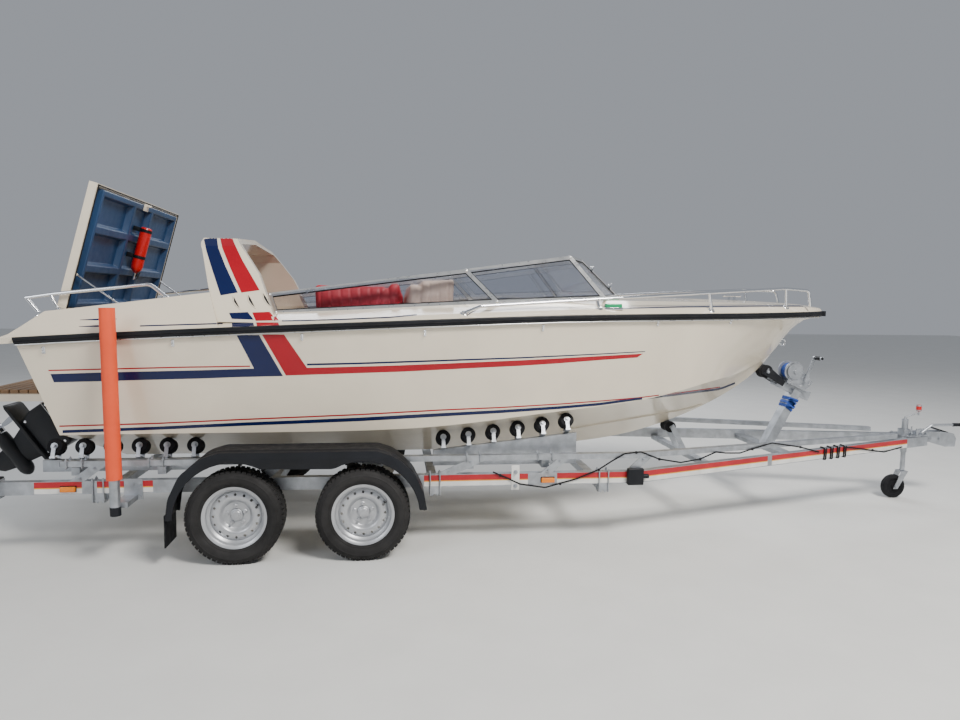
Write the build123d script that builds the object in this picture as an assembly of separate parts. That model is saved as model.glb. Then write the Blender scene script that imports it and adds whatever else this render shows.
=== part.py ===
from build123d import *
import math
import os

# Open sports boat with a stern drive, standing on its twin-axle roller trailer.
# Millimetres, +X forward (bow), +Y to port, +Z up, ground at z = 0.
# Everything is drawn from the point on the ground midway between the two axles,
# and is moved by datum_x at the end, so that the origin is in the middle of the whole length.

datum_x = -1510.0

# Driving dimensions of the trailer
tyre_radius = 294.0
tyre_width = 185.0
rim_radius = 195.0
axle_spacing = 779.0
wheel_y = 998.0
rail_y = 835.0
rail_width = 50.0
lower_rail_z = 408.0
lower_rail_height = 82.0
upper_rail_z = 580.0
upper_rail_height = 36.0
rail_aft_x = -1830.0
rail_bend_x = 2250.0
nose_x = 5060.0
nose_y = 62.0
nose_z = 474.0
roller_radius = 50.0
roller_length = 76.0
roller_pitch = 172.0
stub_radius = 17.0
running_clearance = 0.05
ball_radius = 25.0
seat_gap = 0.3

# Driving dimensions of the boat
chine_flat = 45.0
chine_drop = 8.0
joint_gap = 0.5
deck_wall = 22.0
rub_height = 42.0
rub_depth = 24.0
floor_z = 840.0
hatch_length = 820.0
hatch_half_width = 800.0
hatch_thickness = 62.0
hatch_hinge_x = -1435.0
hatch_hinge_z = 1535.0
hatch_open_deg = 74.5
rail_tube_radius = 11.0
tilt_x = -1690.0
tilt_z = 760.0
drive_raised_deg = 55.0
propeller_radius = 178.0

os.makedirs("parts", exist_ok=True)


def box(x0, x1, y0, y1, z0, z1):
    return Pos((x0 + x1) / 2, (y0 + y1) / 2, (z0 + z1) / 2) * Box(x1 - x0, y1 - y0, z1 - z0)


def rod(start, end, radius):
    start = Vector(*start)
    run = Vector(*end) - start
    plane = Plane(origin=start, z_dir=run)
    return extrude(plane * Circle(radius), run.length)


def bar(start, end, width, depth, side=(0, 1, 0)):
    start = Vector(*start)
    run = Vector(*end) - start
    plane = Plane(origin=start, x_dir=Vector(*side).cross(run).cross(run) * -1, z_dir=run)
    return extrude(plane * Rectangle(width, depth), run.length)


def tube(points, bend, radius):
    path = FilletPolyline(*points, radius=bend)
    start = Plane(origin=path @ 0, z_dir=path % 0)
    return sweep(start * Circle(radius), path=path)


def section(x, points):
    return make_face(Polyline(*[(x, y, z) for y, z in points], close=True))


def side_view(points, y0, y1):
    face = make_face(Polyline(*[(x, y0, z) for x, z in points], close=True))
    return extrude(face, y1 - y0, dir=(0, 1, 0))


def turned(points):
    # A solid of revolution about Y, from pairs of radius and place along Y.
    return revolve(make_face(Polyline(*points, close=True)), Axis.Y)


def skin(rows):
    # A closed body through cross-sections, each an x and its corners as y and z.
    # One smooth curve runs along each corner, with a ruled face between neighbouring curves.
    corner_count = len(rows[0][1])
    curves = [Spline(*[(x, *corners[i]) for x, corners in rows]).edge() for i in range(corner_count)]
    faces = [Face.make_surface_from_curves(curves[i], curves[(i + 1) % corner_count]) for i in range(corner_count)]
    faces.extend([section(*rows[0]).face(), section(*rows[-1]).face()])
    return Solid(Shell(faces))


def both_halves(half, middle=()):
    # The corners of a symmetrical section from those of its port half
    return half + list(middle) + [(-y, z) for y, z in reversed(half)]


def mirrored(shape):
    return mirror(shape, about=Plane.XZ)


def save(name, *pieces):
    solids = []
    for piece in pieces:
        solids.extend(piece.solids())
    shifted = [Pos(datum_x, 0, 0) * solid for solid in solids]
    export_step(Compound(shifted), f"parts/{name}.step")


# Hull

# x, keel z, chine y, chine z, sheer y, sheer z
hull_stations = [
    (-1800, 468, 800, 762, 925, 1343),
    (-900, 466, 845, 782, 990, 1400),
    (0, 468, 855, 786, 1020, 1446),
    (900, 474, 835, 812, 1000, 1487),
    (1700, 500, 770, 893, 925, 1517),
    (2400, 578, 630, 960, 790, 1530),
    (3000, 768, 400, 1064, 590, 1536),
    (3400, 985, 120, 1122, 430, 1541),
    (3620, 1180, 62, 1236, 330, 1545),
    (3860, 1474, 28, 1484, 197, 1549),
    (4060, 1534, 10, 1540, 45, 1554),
]


def hull_row(x, keel_z, chine_y, chine_z, sheer_y, sheer_z):
    flat = min(chine_flat, 0.2 * chine_y)
    half = [(sheer_y, sheer_z), (chine_y, chine_z), (chine_y - flat, chine_z - chine_drop)]
    return x, both_halves(half, [(0, keel_z)])


# The transom leans aft: its foot and its top as x and z.
transom_foot = (-1391.0, 466.0)
transom_top = (-1652.0, 1344.0)


def transom_x(z):
    share = (z - transom_foot[1]) / (transom_top[1] - transom_foot[1])
    return transom_foot[0] + share * (transom_top[0] - transom_foot[0])


hull_outer = skin([hull_row(*row) for row in hull_stations])
behind_transom = side_view(
    [(-2100, 300), (transom_x(300), 300), (transom_x(1700), 1700), (-2100, 1700)], -1100, 1100)

# The cockpit well and the engine bay, open at the top
well_aft_x = -560.0
well_front_x = 1500.0
bay_aft_x = -1350.0
bay_front_x = -640.0
bay_half_width = 640.0
bay_floor_z = 640.0


def well_section(x, floor_half, top_half):
    return section(x, [(-floor_half, floor_z), (floor_half, floor_z), (top_half, 1700), (-top_half, 1700)])


well = loft([well_section(well_aft_x, 740, 940), well_section(well_front_x, 650, 870)])
bay = extrude(section(bay_aft_x, [(-320, bay_floor_z), (320, bay_floor_z), (bay_half_width, 800),
                                  (bay_half_width, 1700), (-bay_half_width, 1700), (-bay_half_width, 800)]),
              bay_front_x - bay_aft_x, dir=(1, 0, 0))
hull = hull_outer - behind_transom - well - bay
save("hull", hull)


# Deck

# Height of the crown, and of the knuckle and the coaming with their half widths, at the hull's stations
# x, knuckle y, knuckle z, coaming y, coaming z, crown z; the sheer is the hull's own.
deck_rows = [
    (-1800, 880, 1410, 790, 1480, 1510),
    (-900, 940, 1462, 800, 1530, 1560),
    (0, 965, 1506, 800, 1556, 1580),
    (900, 945, 1552, 770, 1606, 1630),
    (1700, 870, 1586, 690, 1645, 1672),
    (2400, 730, 1603, 540, 1652, 1680),
    (3000, 535, 1612, 360, 1650, 1676),
    (3400, 385, 1618, 230, 1646, 1666),
    (3620, 290, 1620, 165, 1642, 1657),
    (3860, 165, 1620, 85, 1634, 1643),
    (4060, 32, 1606, 15, 1612, 1616),
]
# Aft of the arch the deck rises to a high quarter. Its corners are set from the sheer:
# station, inset and rise of the knuckle, inset and rise of the coaming, rise of the crown
quarter_set = {-1800: (45, 97, 80, 169, 197), -900: (42, 98, 120, 224, 250)}
quarter_ahead = (45, 114, 140, 284, 306)
sheer_at = {row[0]: (row[4], row[5]) for row in hull_stations}


def quarter_row(x):
    sheer_y, sheer_z = sheer_at[x]
    knuckle_in, knuckle_up, coaming_in, coaming_up, crown_up = quarter_set.get(x, quarter_ahead)
    return (x, sheer_y - min(knuckle_in, sheer_y / 4), sheer_z + knuckle_up,
            sheer_y - min(coaming_in, sheer_y / 2), sheer_z + coaming_up, sheer_z + crown_up)


def deck_corners(x, knuckle_y, knuckle_z, coaming_y, coaming_z, crown_z, inset=0.0):
    sheer_y, sheer_z = sheer_at[x]
    base = sheer_z - 60.0 if inset else sheer_z + joint_gap
    low_y = max(sheer_y - inset, 6.0)
    half = [(low_y, base), (low_y, sheer_z + rub_height - 6),
            (max(knuckle_y - inset, 4.0), knuckle_z - inset / 2),
            (max(coaming_y - inset / 2, 2.0), coaming_z - inset)]
    return x, both_halves(half, [(0, crown_z - inset)])


def deck_skin(rows, inset=0.0):
    return skin([deck_corners(*row, inset=inset) for row in rows])


deck_outer = deck_skin(deck_rows)
tip_wall = 40.0
beyond_tip = box(hull_stations[-1][0] - tip_wall, hull_stations[-1][0] + tip_wall, -200, 200, 1400, 1800)
deck_inner = deck_skin(deck_rows, deck_wall) - beyond_tip
quarter_rows = [quarter_row(row[0]) for row in hull_stations]
quarter_outer = deck_skin(quarter_rows)
quarter_inner = deck_skin(quarter_rows, deck_wall)
# The arch leans aft; the quarter ends on the aft edge of its leg, and the side deck begins there.
arch_aft_foot = (-489.0, 1490.0)
arch_aft_mid = (-565.0, 1700.0)
arch_lean = (arch_aft_mid[0] - arch_aft_foot[0]) / (arch_aft_mid[1] - arch_aft_foot[1])


def arch_aft_x(z):
    return arch_aft_foot[0] + arch_lean * (z - arch_aft_foot[1])


ahead_of_arch = side_view([(arch_aft_x(1250), 1250), (4200, 1250), (4200, 2100), (arch_aft_x(2100), 2100)], -1100, 1100)
quarter_end = side_view([(-2100, 1250), (-1705, 1405), (-1500, 1562), (-1500, 2000), (-2100, 2000)], -1100, 1100)
quarter = quarter_outer - (quarter_inner - Pos(deck_wall, 0, 0) * quarter_end) - ahead_of_arch - quarter_end
foredeck = (deck_outer - deck_inner) & ahead_of_arch

# Openings in the deck: the engine hatch, and the cockpit between the coamings
hatch_gap = 6.0
hatch_cut = box(hatch_hinge_x - 75, hatch_hinge_x + hatch_length + 10,
                -hatch_half_width - hatch_gap, hatch_half_width + hatch_gap, 1200, 2000)
cockpit_half_aft = 800.0
cockpit_half_front = 650.0
cockpit_front_x = 1480.0
cockpit_cut = extrude(make_face(Polyline(
    (-625, -cockpit_half_aft, 1300), (cockpit_front_x - 900, -730, 1300),
    (cockpit_front_x, -cockpit_half_front, 1300), (cockpit_front_x, cockpit_half_front, 1300),
    (cockpit_front_x - 900, 730, 1300), (-625, cockpit_half_aft, 1300), close=True)), 700, dir=(0, 0, 1))
deck_shell = (quarter + foredeck) - hatch_cut - cockpit_cut
# Ledge that carries the hatch hinges, and the ledges that its sides close on
ledge_z = 1502.0
ledge_half = hatch_half_width - 20
hinge_ledge = box(hatch_hinge_x - 100, hatch_hinge_x - 8, -ledge_half, ledge_half, ledge_z - 16, ledge_z)
hinge_ledge = hinge_ledge + box(hatch_hinge_x - 100, hatch_hinge_x - 84, -ledge_half, ledge_half,
                                ledge_z - 16, ledge_z + 90)
ledges = [box(hatch_hinge_x - 20, hatch_hinge_x + hatch_length, side * (hatch_half_width + 50) - 40,
              side * (hatch_half_width + 50) + 40,
              ledge_z - 30, ledge_z - 14) for side in (-1, 1)]

# Rub rail, a strip outside the joint of hull and deck


def rub_corners(x, sheer_y, sheer_z):
    inner = sheer_y + joint_gap
    outer = sheer_y + rub_depth
    low = sheer_z - 6
    high = low + rub_height
    return x, [(inner, low), (outer - 5, low), (outer, low + 8), (outer, high - 8),
               (outer - 5, high), (inner, high)]


rub_strip = skin([rub_corners(row[0], row[4], row[5]) for row in hull_stations]) - behind_transom
bow_tip_x, bow_tip_y, bow_tip_z = hull_stations[-1][0], hull_stations[-1][4], hull_stations[-1][5]
rub_nose = box(bow_tip_x + joint_gap, bow_tip_x + rub_depth, -bow_tip_y - rub_depth, bow_tip_y + rub_depth,
               bow_tip_z - 6, bow_tip_z - 6 + rub_height)
save("rub_rail", rub_strip, rub_nose, mirrored(rub_strip))

# Radar arch, a hollow band over the cockpit, leaning aft
arch_outer = [(975, 1480), (715, 1965), (640, 2022)]
arch_inner = [(905, 1480), (672, 1930), (612, 1990)]
arch_crown_z = 2062.0
arch_wall = 32.0
arch_band = section(-900, both_halves(arch_outer, [(0, arch_crown_z)])
                    + list(reversed(both_halves(arch_inner, [(0, arch_crown_z - arch_wall)]))))
arch_profile = [arch_aft_foot, (-155, 1490), (-160, 1536), (-270, 1792), (-345, 1900), (-440, 2030), (-452, 2100),
                (-640, 2100), (-642, 2025), (-650, 1990), (-630, 1937), arch_aft_mid]
arch = extrude(arch_band, 900, dir=(1, 0, 0)) & side_view(arch_profile, -1100, 1100)
arch = arch & side_view([(arch_aft_x(1250) + joint_gap, 1250), (4200, 1250), (4200, 2100), (-900, 2100), (-900, 1720),
                         (arch_aft_x(1720) + joint_gap, 1720)], -1100, 1100)
arch = arch - Pos(0, 0, joint_gap) * deck_outer
save("arch", max(arch.solids(), key=lambda solid: solid.volume))

# Cockpit lining: floor, side panels, rear bulkhead and the bases of the seats
seat_front_x = 1120.0
floor_low = floor_z + seat_gap
floor_high = floor_z + 13
floor = loft([section(well_aft_x + 2, [(-738, floor_low), (738, floor_low), (738, floor_high), (-738, floor_high)]),
              section(well_front_x - 2, [(-648, floor_low), (648, floor_low), (648, floor_high), (-648, floor_high)])])
seat_half_width = 235.0
seat_centre_y = 400.0
seat_base_top = floor_z + 300
seat_bases = [box(180, seat_front_x - 100, side * seat_centre_y - seat_half_width + 15,
                  side * seat_centre_y + seat_half_width - 15, floor_high, seat_base_top) for side in (-1, 1)]
bench_base = box(well_aft_x + 4, well_aft_x + 360, -700, 700, floor_high, seat_base_top)
save("cockpit_floor", floor, bench_base, *seat_bases)

# Back-to-back seats: cushions and backs, each a plain soft solid
cushion = 110.0


def seat_pad(side, x0, x1, z0, z1, half=seat_half_width):
    pad = box(x0, x1, side * seat_centre_y - half, side * seat_centre_y + half, z0, z1)
    return fillet(pad.edges().filter_by(Axis.Y), 25)


pad_z = seat_base_top + seat_gap
back_top_z = 1770.0
forward_pads = []
aft_pads = []
for side in (-1, 1):
    forward_pads.append(seat_pad(side, 700, seat_front_x, pad_z, pad_z + cushion))
    forward_pads.append(seat_pad(side, 660, 760, pad_z + cushion + seat_gap, back_top_z))
    aft_pads.append(seat_pad(side, 130, 600, pad_z, pad_z + cushion))
    aft_pads.append(seat_pad(side, 540, 640, pad_z + cushion + seat_gap, back_top_z))
save("helm_seats", *forward_pads)
save("aft_seats", *aft_pads)
bench_pads = [box(well_aft_x + 10, well_aft_x + 400, -690, 690, pad_z, pad_z + cushion),
              box(well_aft_x + 10, well_aft_x + 90, -690, 690, pad_z + cushion + seat_gap, 1560)]
save("bench_seat", *bench_pads)

# Dash, across the front of the cockpit, with the hub of the steering wheel
dash = side_view([(1240, 1400), (1290, 1600), (1500, 1628), (1500, 1600), (1320, 1575), (1275, 1400)], -640, 640)
dash = dash + box(1275, 1500, -640, 640, 1400, 1412)
wheel_hub = Vector(1180, -seat_centre_y, 1500)
helm_lean_deg = 28.0
helm_axis = Vector(-math.cos(math.radians(helm_lean_deg)), 0, math.sin(math.radians(helm_lean_deg)))
column_start = wheel_hub - helm_axis * seat_gap
column = rod(column_start, wheel_hub - helm_axis * 125, 16)
save("dash", dash - deck_shell - column, column)
helm_plane = Plane(origin=wheel_hub, x_dir=(0, 1, 0), z_dir=helm_axis)
helm_radius = 175.0
helm_rim = helm_plane * Torus(helm_radius, 12)
helm_disc = extrude(helm_plane * Circle(38), 24)
helm_spokes = [helm_plane * (Rot(0, 0, angle) * box(20, helm_radius - 4, -14, 14, 2, 8)) for angle in (90, 210, 330)]
save("steering_wheel", helm_rim + helm_disc + helm_spokes)

# Windscreen: two side lights each side and a wrapped front screen, in alloy frames
# name, x, y, z of the corners of the starboard side; the port side mirrors them
sill_aft = (-170.0, 800.0, 1548.0)
head_aft = (-215.0, 752.0, 1660.0)
sill_mid = (1262.0, 752.0, 1634.0)
head_mid = (1060.0, 700.0, 1838.0)
sill_front = (2020.0, 690.0, 1668.0)
head_front = (1790.0, 625.0, 1945.0)
sill_nose = (2330.0, 0.0, 1688.0)
head_nose = (2040.0, 0.0, 1958.0)
frame_wide = 26.0
frame_deep = 16.0
members = [(sill_aft, sill_mid), (head_aft, head_mid), (sill_mid, sill_front), (head_mid, head_front),
           (sill_aft, head_aft), (sill_mid, head_mid), (sill_front, head_front),
           (sill_front, sill_nose), (head_front, head_nose)]
corners = [sill_aft, head_aft, sill_mid, head_mid, sill_front, head_front, sill_nose, head_nose]


def screen_bars(extra):
    # The bars of the frame, or with some extra size the room that the deck and the panes leave for them
    ball = Sphere(frame_wide / 2 + 1 + extra)
    half = bar(*members[0], frame_deep + 2 * extra, frame_wide + 2 * extra)
    for start, end in members[1:]:
        half = half + bar(start, end, frame_deep + 2 * extra, frame_wide + 2 * extra)
    for corner in corners:
        half = half + Pos(*corner) * ball
    return half + mirrored(half) + bar(sill_nose, head_nose, frame_wide + 2 * extra, frame_deep + 2 * extra)


save("windscreen_frame", screen_bars(0.0))
screen_room = screen_bars(joint_gap)
deck = deck_shell - screen_room
save("deck", max(deck.solids(), key=lambda solid: solid.volume))

glass_thickness = 5.0


def pane(corner_points):
    face = make_face(Polyline(*corner_points, close=True))
    return extrude(face, glass_thickness / 2, both=True)


def inward(points, share=0.018):
    centre = sum((Vector(*point) for point in points), Vector(0, 0, 0)) / len(points)
    return [Vector(*point) + (centre - Vector(*point)) * share for point in points]


def flat_pane(points):
    # The fourth corner is brought into the plane of the other three.
    a, b, c, d = inward(points)
    normal = (b - a).cross(c - a).normalized()
    return pane([a, b, c, d - normal * (d - a).dot(normal)])


lights = [flat_pane([sill_aft, sill_mid, head_mid, head_aft]),
          flat_pane([sill_mid, sill_front, head_front, head_mid]),
          flat_pane([sill_front, sill_nose, head_nose, head_front])]
panes = [light - screen_room for light in lights + [mirrored(light) for light in lights]]
save("windscreen_glass", *[max(pane_left.solids(), key=lambda solid: solid.volume) for pane_left in panes])

# Rails of bent tube
bow_rail_points = [(1020, 940, 1560), (1130, 930, 1604), (2120, 800, 1672), (2800, 640, 1716),
                   (3560, 330, 1762), (3815, 240, 1752), (3845, 227, 1625)]
bow_rail_top = tube(bow_rail_points, 40, rail_tube_radius)
posts = [((1950, 820, 1590), (1930, 812, 1662)), ((2838, 620, 1600), (2812, 634, 1716)),
         ((3598, 300, 1615), (3578, 322, 1760))]
bow_rail = bow_rail_top
for start, end in posts:
    bow_rail = bow_rail + rod(start, end, rail_tube_radius - 1)
bow_rail = bow_rail - deck_outer
save("bow_rails", bow_rail, mirrored(bow_rail))
stern_y = quarter_row(-900)[3] - 41
stern_rail = tube([(-1640, stern_y, 1622), (-1480, stern_y, 1648), (-920, stern_y, 1716), (-815, stern_y, 1630)], 60,
                  rail_tube_radius)
stern_rail = stern_rail + rod((-1454, stern_y, 1545), (-1500, stern_y, 1645), rail_tube_radius - 1)
stern_return = rod((-1636, stern_y, 1622), (-1560, stern_y, 1520), rail_tube_radius - 1)
rail_footing = quarter_outer & box(-1750, -700, 700, 1000, 1300, 1800)
stern_rail = (stern_rail + stern_return) - rail_footing
save("stern_rails", stern_rail, mirrored(stern_rail))

# Engine hatch, drawn closed with its hinge at the origin and then turned open
hatch_top = loft([
    section(8, [(-hatch_half_width, 0), (hatch_half_width, 0), (hatch_half_width, hatch_thickness - 12),
                (0, hatch_thickness), (-hatch_half_width, hatch_thickness - 12)]),
    section(hatch_length, [(-hatch_half_width, 0), (hatch_half_width, 0), (hatch_half_width, hatch_thickness - 12),
                           (0, hatch_thickness + 8), (-hatch_half_width, hatch_thickness - 12)])])
hatch_rim = 18.0
hatch_well_top = 38.0
hatch_well = box(8 + hatch_rim, hatch_length - hatch_rim, -hatch_half_width + hatch_rim,
                 hatch_half_width - hatch_rim, -5, hatch_well_top)
# Hinges: knuckles on the hatch, between lugs that carry the pins
hinge_y = 0.65 * hatch_half_width
hinge_pin_radius = 4.0
knuckles = []
hinge_lugs = []
for side in (-1, 1):
    y = side * hinge_y
    knuckle = rod((0, y - 18, 0), (0, y + 18, 0), 9) + box(0, 10, y - 18, y + 18, -4, 9)
    knuckles.append(knuckle - rod((0, y - 20, 0), (0, y + 20, 0), hinge_pin_radius + running_clearance))
    hinge_lugs.append(rod((hatch_hinge_x, y - 32, hatch_hinge_z), (hatch_hinge_x, y + 32, hatch_hinge_z), hinge_pin_radius))
    for end in (-1, 1):
        y0, y1 = sorted((y + end * 20, y + end * 30))
        hinge_lugs.append(side_view([(hatch_hinge_x - 40, ledge_z - 4), (hatch_hinge_x - 9, ledge_z - 4),
                                     (hatch_hinge_x + 4.5, hatch_hinge_z - 5), (hatch_hinge_x + 4.5, hatch_hinge_z + 5),
                                     (hatch_hinge_x - 8, hatch_hinge_z + 6)], y0, y1))
hatch_turn = Pos(hatch_hinge_x, 0, hatch_hinge_z) * Rot(0, -hatch_open_deg, 0)
stay_pin = (-1375.0, 1770.0)
stay_y = hatch_half_width - 42
stay_bosses = [rod((stay_pin[0], side * (stay_y - 9), stay_pin[1]), (stay_pin[0], side * (hatch_half_width - 10), stay_pin[1]), 5)
               + rod((stay_pin[0], side * (stay_y + 7), stay_pin[1]), (stay_pin[0], side * (hatch_half_width - 14), stay_pin[1]), 10)
               for side in (-1, 1)]
save("engine_hatch", hatch_turn * ((hatch_top - hatch_well) + knuckles[0] + knuckles[1]) + stay_bosses[0] + stay_bosses[1])
# Moulded inner skin with two rows of pans between its ribs
liner_edge = hatch_rim + seat_gap
liner_half = stay_y - 30
liner = box(8 + liner_edge, hatch_length - liner_edge, -liner_half, liner_half, -18,
            hatch_well_top - seat_gap)
pan_floor = -20.0
pan_depth = 44.0
pans = []
for y0, y1 in ((28 - liner_half, -190), (-150, 150), (190, liner_half - 28)):
    for x0, x1 in ((60, 270), (310, 520), (560, 760)):
        pan_mouth = make_face(Polyline((x0, y0), (x1, y0), (x1, y1), (x0, y1), close=True))
        pans.append(Pos(0, 0, pan_floor) * extrude(pan_mouth, pan_depth, taper=18))
for pan in pans:
    liner = liner - pan
save("hatch_liner", hatch_turn * liner)
bottle = rod((300, 0, -62), (640, 0, -62), 40) + rod((250, 0, -62), (301, 0, -62), 14)
pan_roof = pan_floor + pan_depth - seat_gap
bottle_bracket = box(400, 440, -20, 20, -30, pan_roof) + box(595, 635, -20, 20, -30, pan_roof)
save("extinguisher", hatch_turn * (bottle + bottle_bracket))

# Stays of the hatch: a rod each side, pinned to the hatch, its foot in a slide on the bay's side
stay_foot = (-1070.0, 1545.0)
stay_radius = 5.0
for side, name in ((1, "left"), (-1, "right")):
    y = side * stay_y
    stay = rod((stay_pin[0], y, stay_pin[1]), (stay_foot[0], y, stay_foot[1]), stay_radius)
    eye = rod((stay_pin[0], y - side * 6, stay_pin[1]), (stay_pin[0], y + side * 6, stay_pin[1]), 11)
    foot = rod((stay_foot[0], y - side * 2, stay_foot[1]), (stay_foot[0], y + side * 12, stay_foot[1]), 6)
    pin_hole = rod((stay_pin[0], y - 20, stay_pin[1]), (stay_pin[0], y + 20, stay_pin[1]), 5 + running_clearance)
    save(f"hatch_stay_{name}", stay + eye + foot - pin_hole)

# Engine, one block on its bearers in the bay, and what shows of it from above
engine_x = -980.0
bearers = [box(bay_aft_x + 2, bay_front_x - 2, side * 190 - 30, side * 190 + 30, bay_floor_z + seat_gap, bay_floor_z + 90)
           for side in (-1, 1)]
block = box(engine_x - 330, engine_x + 280, -160, 160, bay_floor_z + 90, bay_floor_z + 420)
rocker = box(engine_x - 260, engine_x + 240, -70, 70, bay_floor_z + 420, bay_floor_z + 520)
manifold = rod((engine_x - 250, 215, bay_floor_z + 390), (engine_x + 230, 215, bay_floor_z + 390), 60)
engine = block + rocker + manifold
save("engine", engine)
# Slides for the feet of the hatch stays, on the side ledges
slides = [box(-1110, -780, *sorted((side * (stay_y + 14), side * (hatch_half_width + 30))), ledge_z - 14, 1556) for side in (-1, 1)]
for lug in hinge_lugs:
    hinge_ledge = hinge_ledge + lug
bay_pieces = [max((piece - deck).solids(), key=lambda solid: solid.volume) for piece in [hinge_ledge, *ledges, *slides]]
save("bay_fittings", *bay_pieces, *bearers)

# Bathing platform on the transom, with its slats
platform_z = 958.0
platform_height = 46.0
platform_aft_x = -2130.0
platform_half = 620.0
platform_edge = 34.0
platform_top = platform_z + platform_height
platform = box(platform_aft_x, transom_x(platform_top) - seat_gap, -platform_half, platform_half, platform_z, platform_top)
platform = fillet(platform.edges().filter_by(Axis.Z).group_by(Axis.X)[0], 90)
platform_well = box(platform_aft_x + 60, transom_x(platform_top) - 60, -platform_half + 60, platform_half - 60,
                    platform_top - 14, platform_top + 10)
save("swim_platform", platform - platform_well)
slat_count = 8
slat_pitch = (transom_x(platform_top) - 60 - platform_aft_x - 60) / slat_count
slat_height = 34.0
slats = [box(platform_aft_x + 60 + slat_pitch * i + 4, platform_aft_x + 60 + slat_pitch * (i + 1) - 4,
             -platform_half + 64, platform_half - 64, platform_top - 14, platform_top - 14 + slat_height)
         for i in range(slat_count)]
save("platform_slats", *slats)

# Stern drive: transom plate, steering yoke, leg and propeller
transom_gap = 1.0
plate = side_view([(transom_x(620) - transom_gap, 620), (transom_x(900) - transom_gap, 900), (transom_x(900) - 40, 890),
                   (transom_x(620) - 40, 625)], -150, 150)
shelf_half = 45.0
shelf_near = 95.0
shelf_far = 125.0
kingpin_radius = 14.0
kingpin_bore = Pos(tilt_x, 0, tilt_z) * Cylinder(kingpin_radius + running_clearance, 300)
shelves = []
for low, high in ((-shelf_far, -shelf_near), (shelf_near, shelf_far)):
    shelf = box(tilt_x - 30, tilt_x + 320, -shelf_half, shelf_half, tilt_z + low, tilt_z + high)
    ahead_of_plate = side_view([(transom_x(620) - 40 - seat_gap, 625 - 60), (transom_x(620) - 40 - seat_gap, 625),
                                (transom_x(900) - 40 - seat_gap, 890), (transom_x(900) - 40 - seat_gap, 1000),
                                (-1200, 1000), (-1200, 565)], -shelf_half - 1, shelf_half + 1)
    shelves.append(shelf - ahead_of_plate - kingpin_bore)
save("transom_plate", plate, *shelves)
post_radius_drive = 30.0
tilt_pin_radius = 20.0
steer_post = Pos(tilt_x, 0, tilt_z) * Cylinder(post_radius_drive, 2 * shelf_near - 10)
steer_post = steer_post + Pos(tilt_x, 0, tilt_z) * Cylinder(kingpin_radius, 2 * shelf_far)
yoke = steer_post + rod((tilt_x, -105, tilt_z), (tilt_x, 105, tilt_z), tilt_pin_radius)
save("steering_yoke", yoke)


def drive_view(points, y0, y1):
    # Outline of a piece of the lowered leg, in x and z from the tilt axis
    placed = [(tilt_x + x, tilt_z + z) for x, z in points]
    return side_view(placed, y0, y1)


# The leg: two cheeks on the tilt pin, the gear housing under them, the strut, the flat plate over
# the propeller, the torpedo and the skeg. The housing stays aft of and below the yoke at any tilt.
housing_half = 88.0
cheek_in = 62.0
cheek_radius = 80.0
strut_half = 34.0
torpedo_radius = 52.0
torpedo_z = tilt_z - 545
shaft_radius = 12.0
housing_fit = -140.0
upper_housing = drive_view([(-58, housing_fit), (-58, -30), (-190, 50), (-225, 10), (-232, housing_fit)],
                           -housing_half, housing_half)
lower_housing = drive_view([(-232, housing_fit), (110, housing_fit), (124, -160), (112, -330), (-200, -330), (-232, -250)],
                           -housing_half, housing_half)
cheeks = []
for side in (-1, 1):
    y0, y1 = sorted((side * cheek_in, side * housing_half))
    cheek = rod((tilt_x, y0, tilt_z), (tilt_x, y1, tilt_z), cheek_radius)
    cheek = cheek + drive_view([(-72, 30), (4, 30), (4, housing_fit), (-58, housing_fit), (-72, -60)], y0, y1)
    tilt_bore = rod((tilt_x, y0 - 5, tilt_z), (tilt_x, y1 + 5, tilt_z), tilt_pin_radius + running_clearance)
    cheeks.append(cheek - upper_housing - tilt_bore)
strut = drive_view([(96, -330), (62, -500), (40, -640), (-40, -742), (-96, -700), (-110, -600), (-140, -480),
                    (-205, -330)], -strut_half, strut_half)
beard = drive_view([(112, -330), (132, -342), (112, -354), (-330, -354), (-360, -341), (-330, -330)], -118, 118)
torpedo = rod((tilt_x + 90, 0, torpedo_z), (tilt_x - 215, 0, torpedo_z), torpedo_radius)
torpedo = torpedo + Pos(tilt_x + 90, 0, torpedo_z) * Sphere(torpedo_radius)
shaft = rod((tilt_x - 210, 0, torpedo_z), (tilt_x - 300, 0, torpedo_z), shaft_radius)
lower_unit = strut + beard + torpedo + shaft
raise_drive = Pos(tilt_x, 0, tilt_z) * Rot(0, drive_raised_deg, 0) * Pos(-tilt_x, 0, -tilt_z)
save("drive_leg", *[raise_drive * piece for piece in [upper_housing, lower_housing, lower_unit, *cheeks]])
hub_x = tilt_x - 221
hub = rod((hub_x, 0, torpedo_z), (hub_x - 90, 0, torpedo_z), 48)
hub = hub - rod((hub_x + 5, 0, torpedo_z), (hub_x - 84, 0, torpedo_z), shaft_radius + running_clearance)
blades = [Pos(hub_x - 45, 0, torpedo_z) * Rot(angle, 0, 0) * (Rot(0, 0, 28) * box(-40, 40, -5, 5, 40, propeller_radius))
          for angle in (0, 120, 240)]
propeller = hub + blades
save("propeller", raise_drive * propeller)

# Trailer frame: two rails each side, one above the other, drawn in to the coupling
rail_inner = rail_y - rail_width / 2
rail_outer = rail_y + rail_width / 2
lower_rail_top = lower_rail_z + lower_rail_height
upper_rail_top = upper_rail_z + upper_rail_height
lower_rail = box(rail_aft_x, rail_bend_x, rail_inner, rail_outer, lower_rail_z, lower_rail_top)
upper_aft_x = -1470.0
upper_rail = box(upper_aft_x, rail_bend_x, rail_inner, rail_outer, upper_rail_z, upper_rail_top)
save("frame_rails", lower_rail, upper_rail, mirrored(lower_rail), mirrored(upper_rail))


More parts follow.
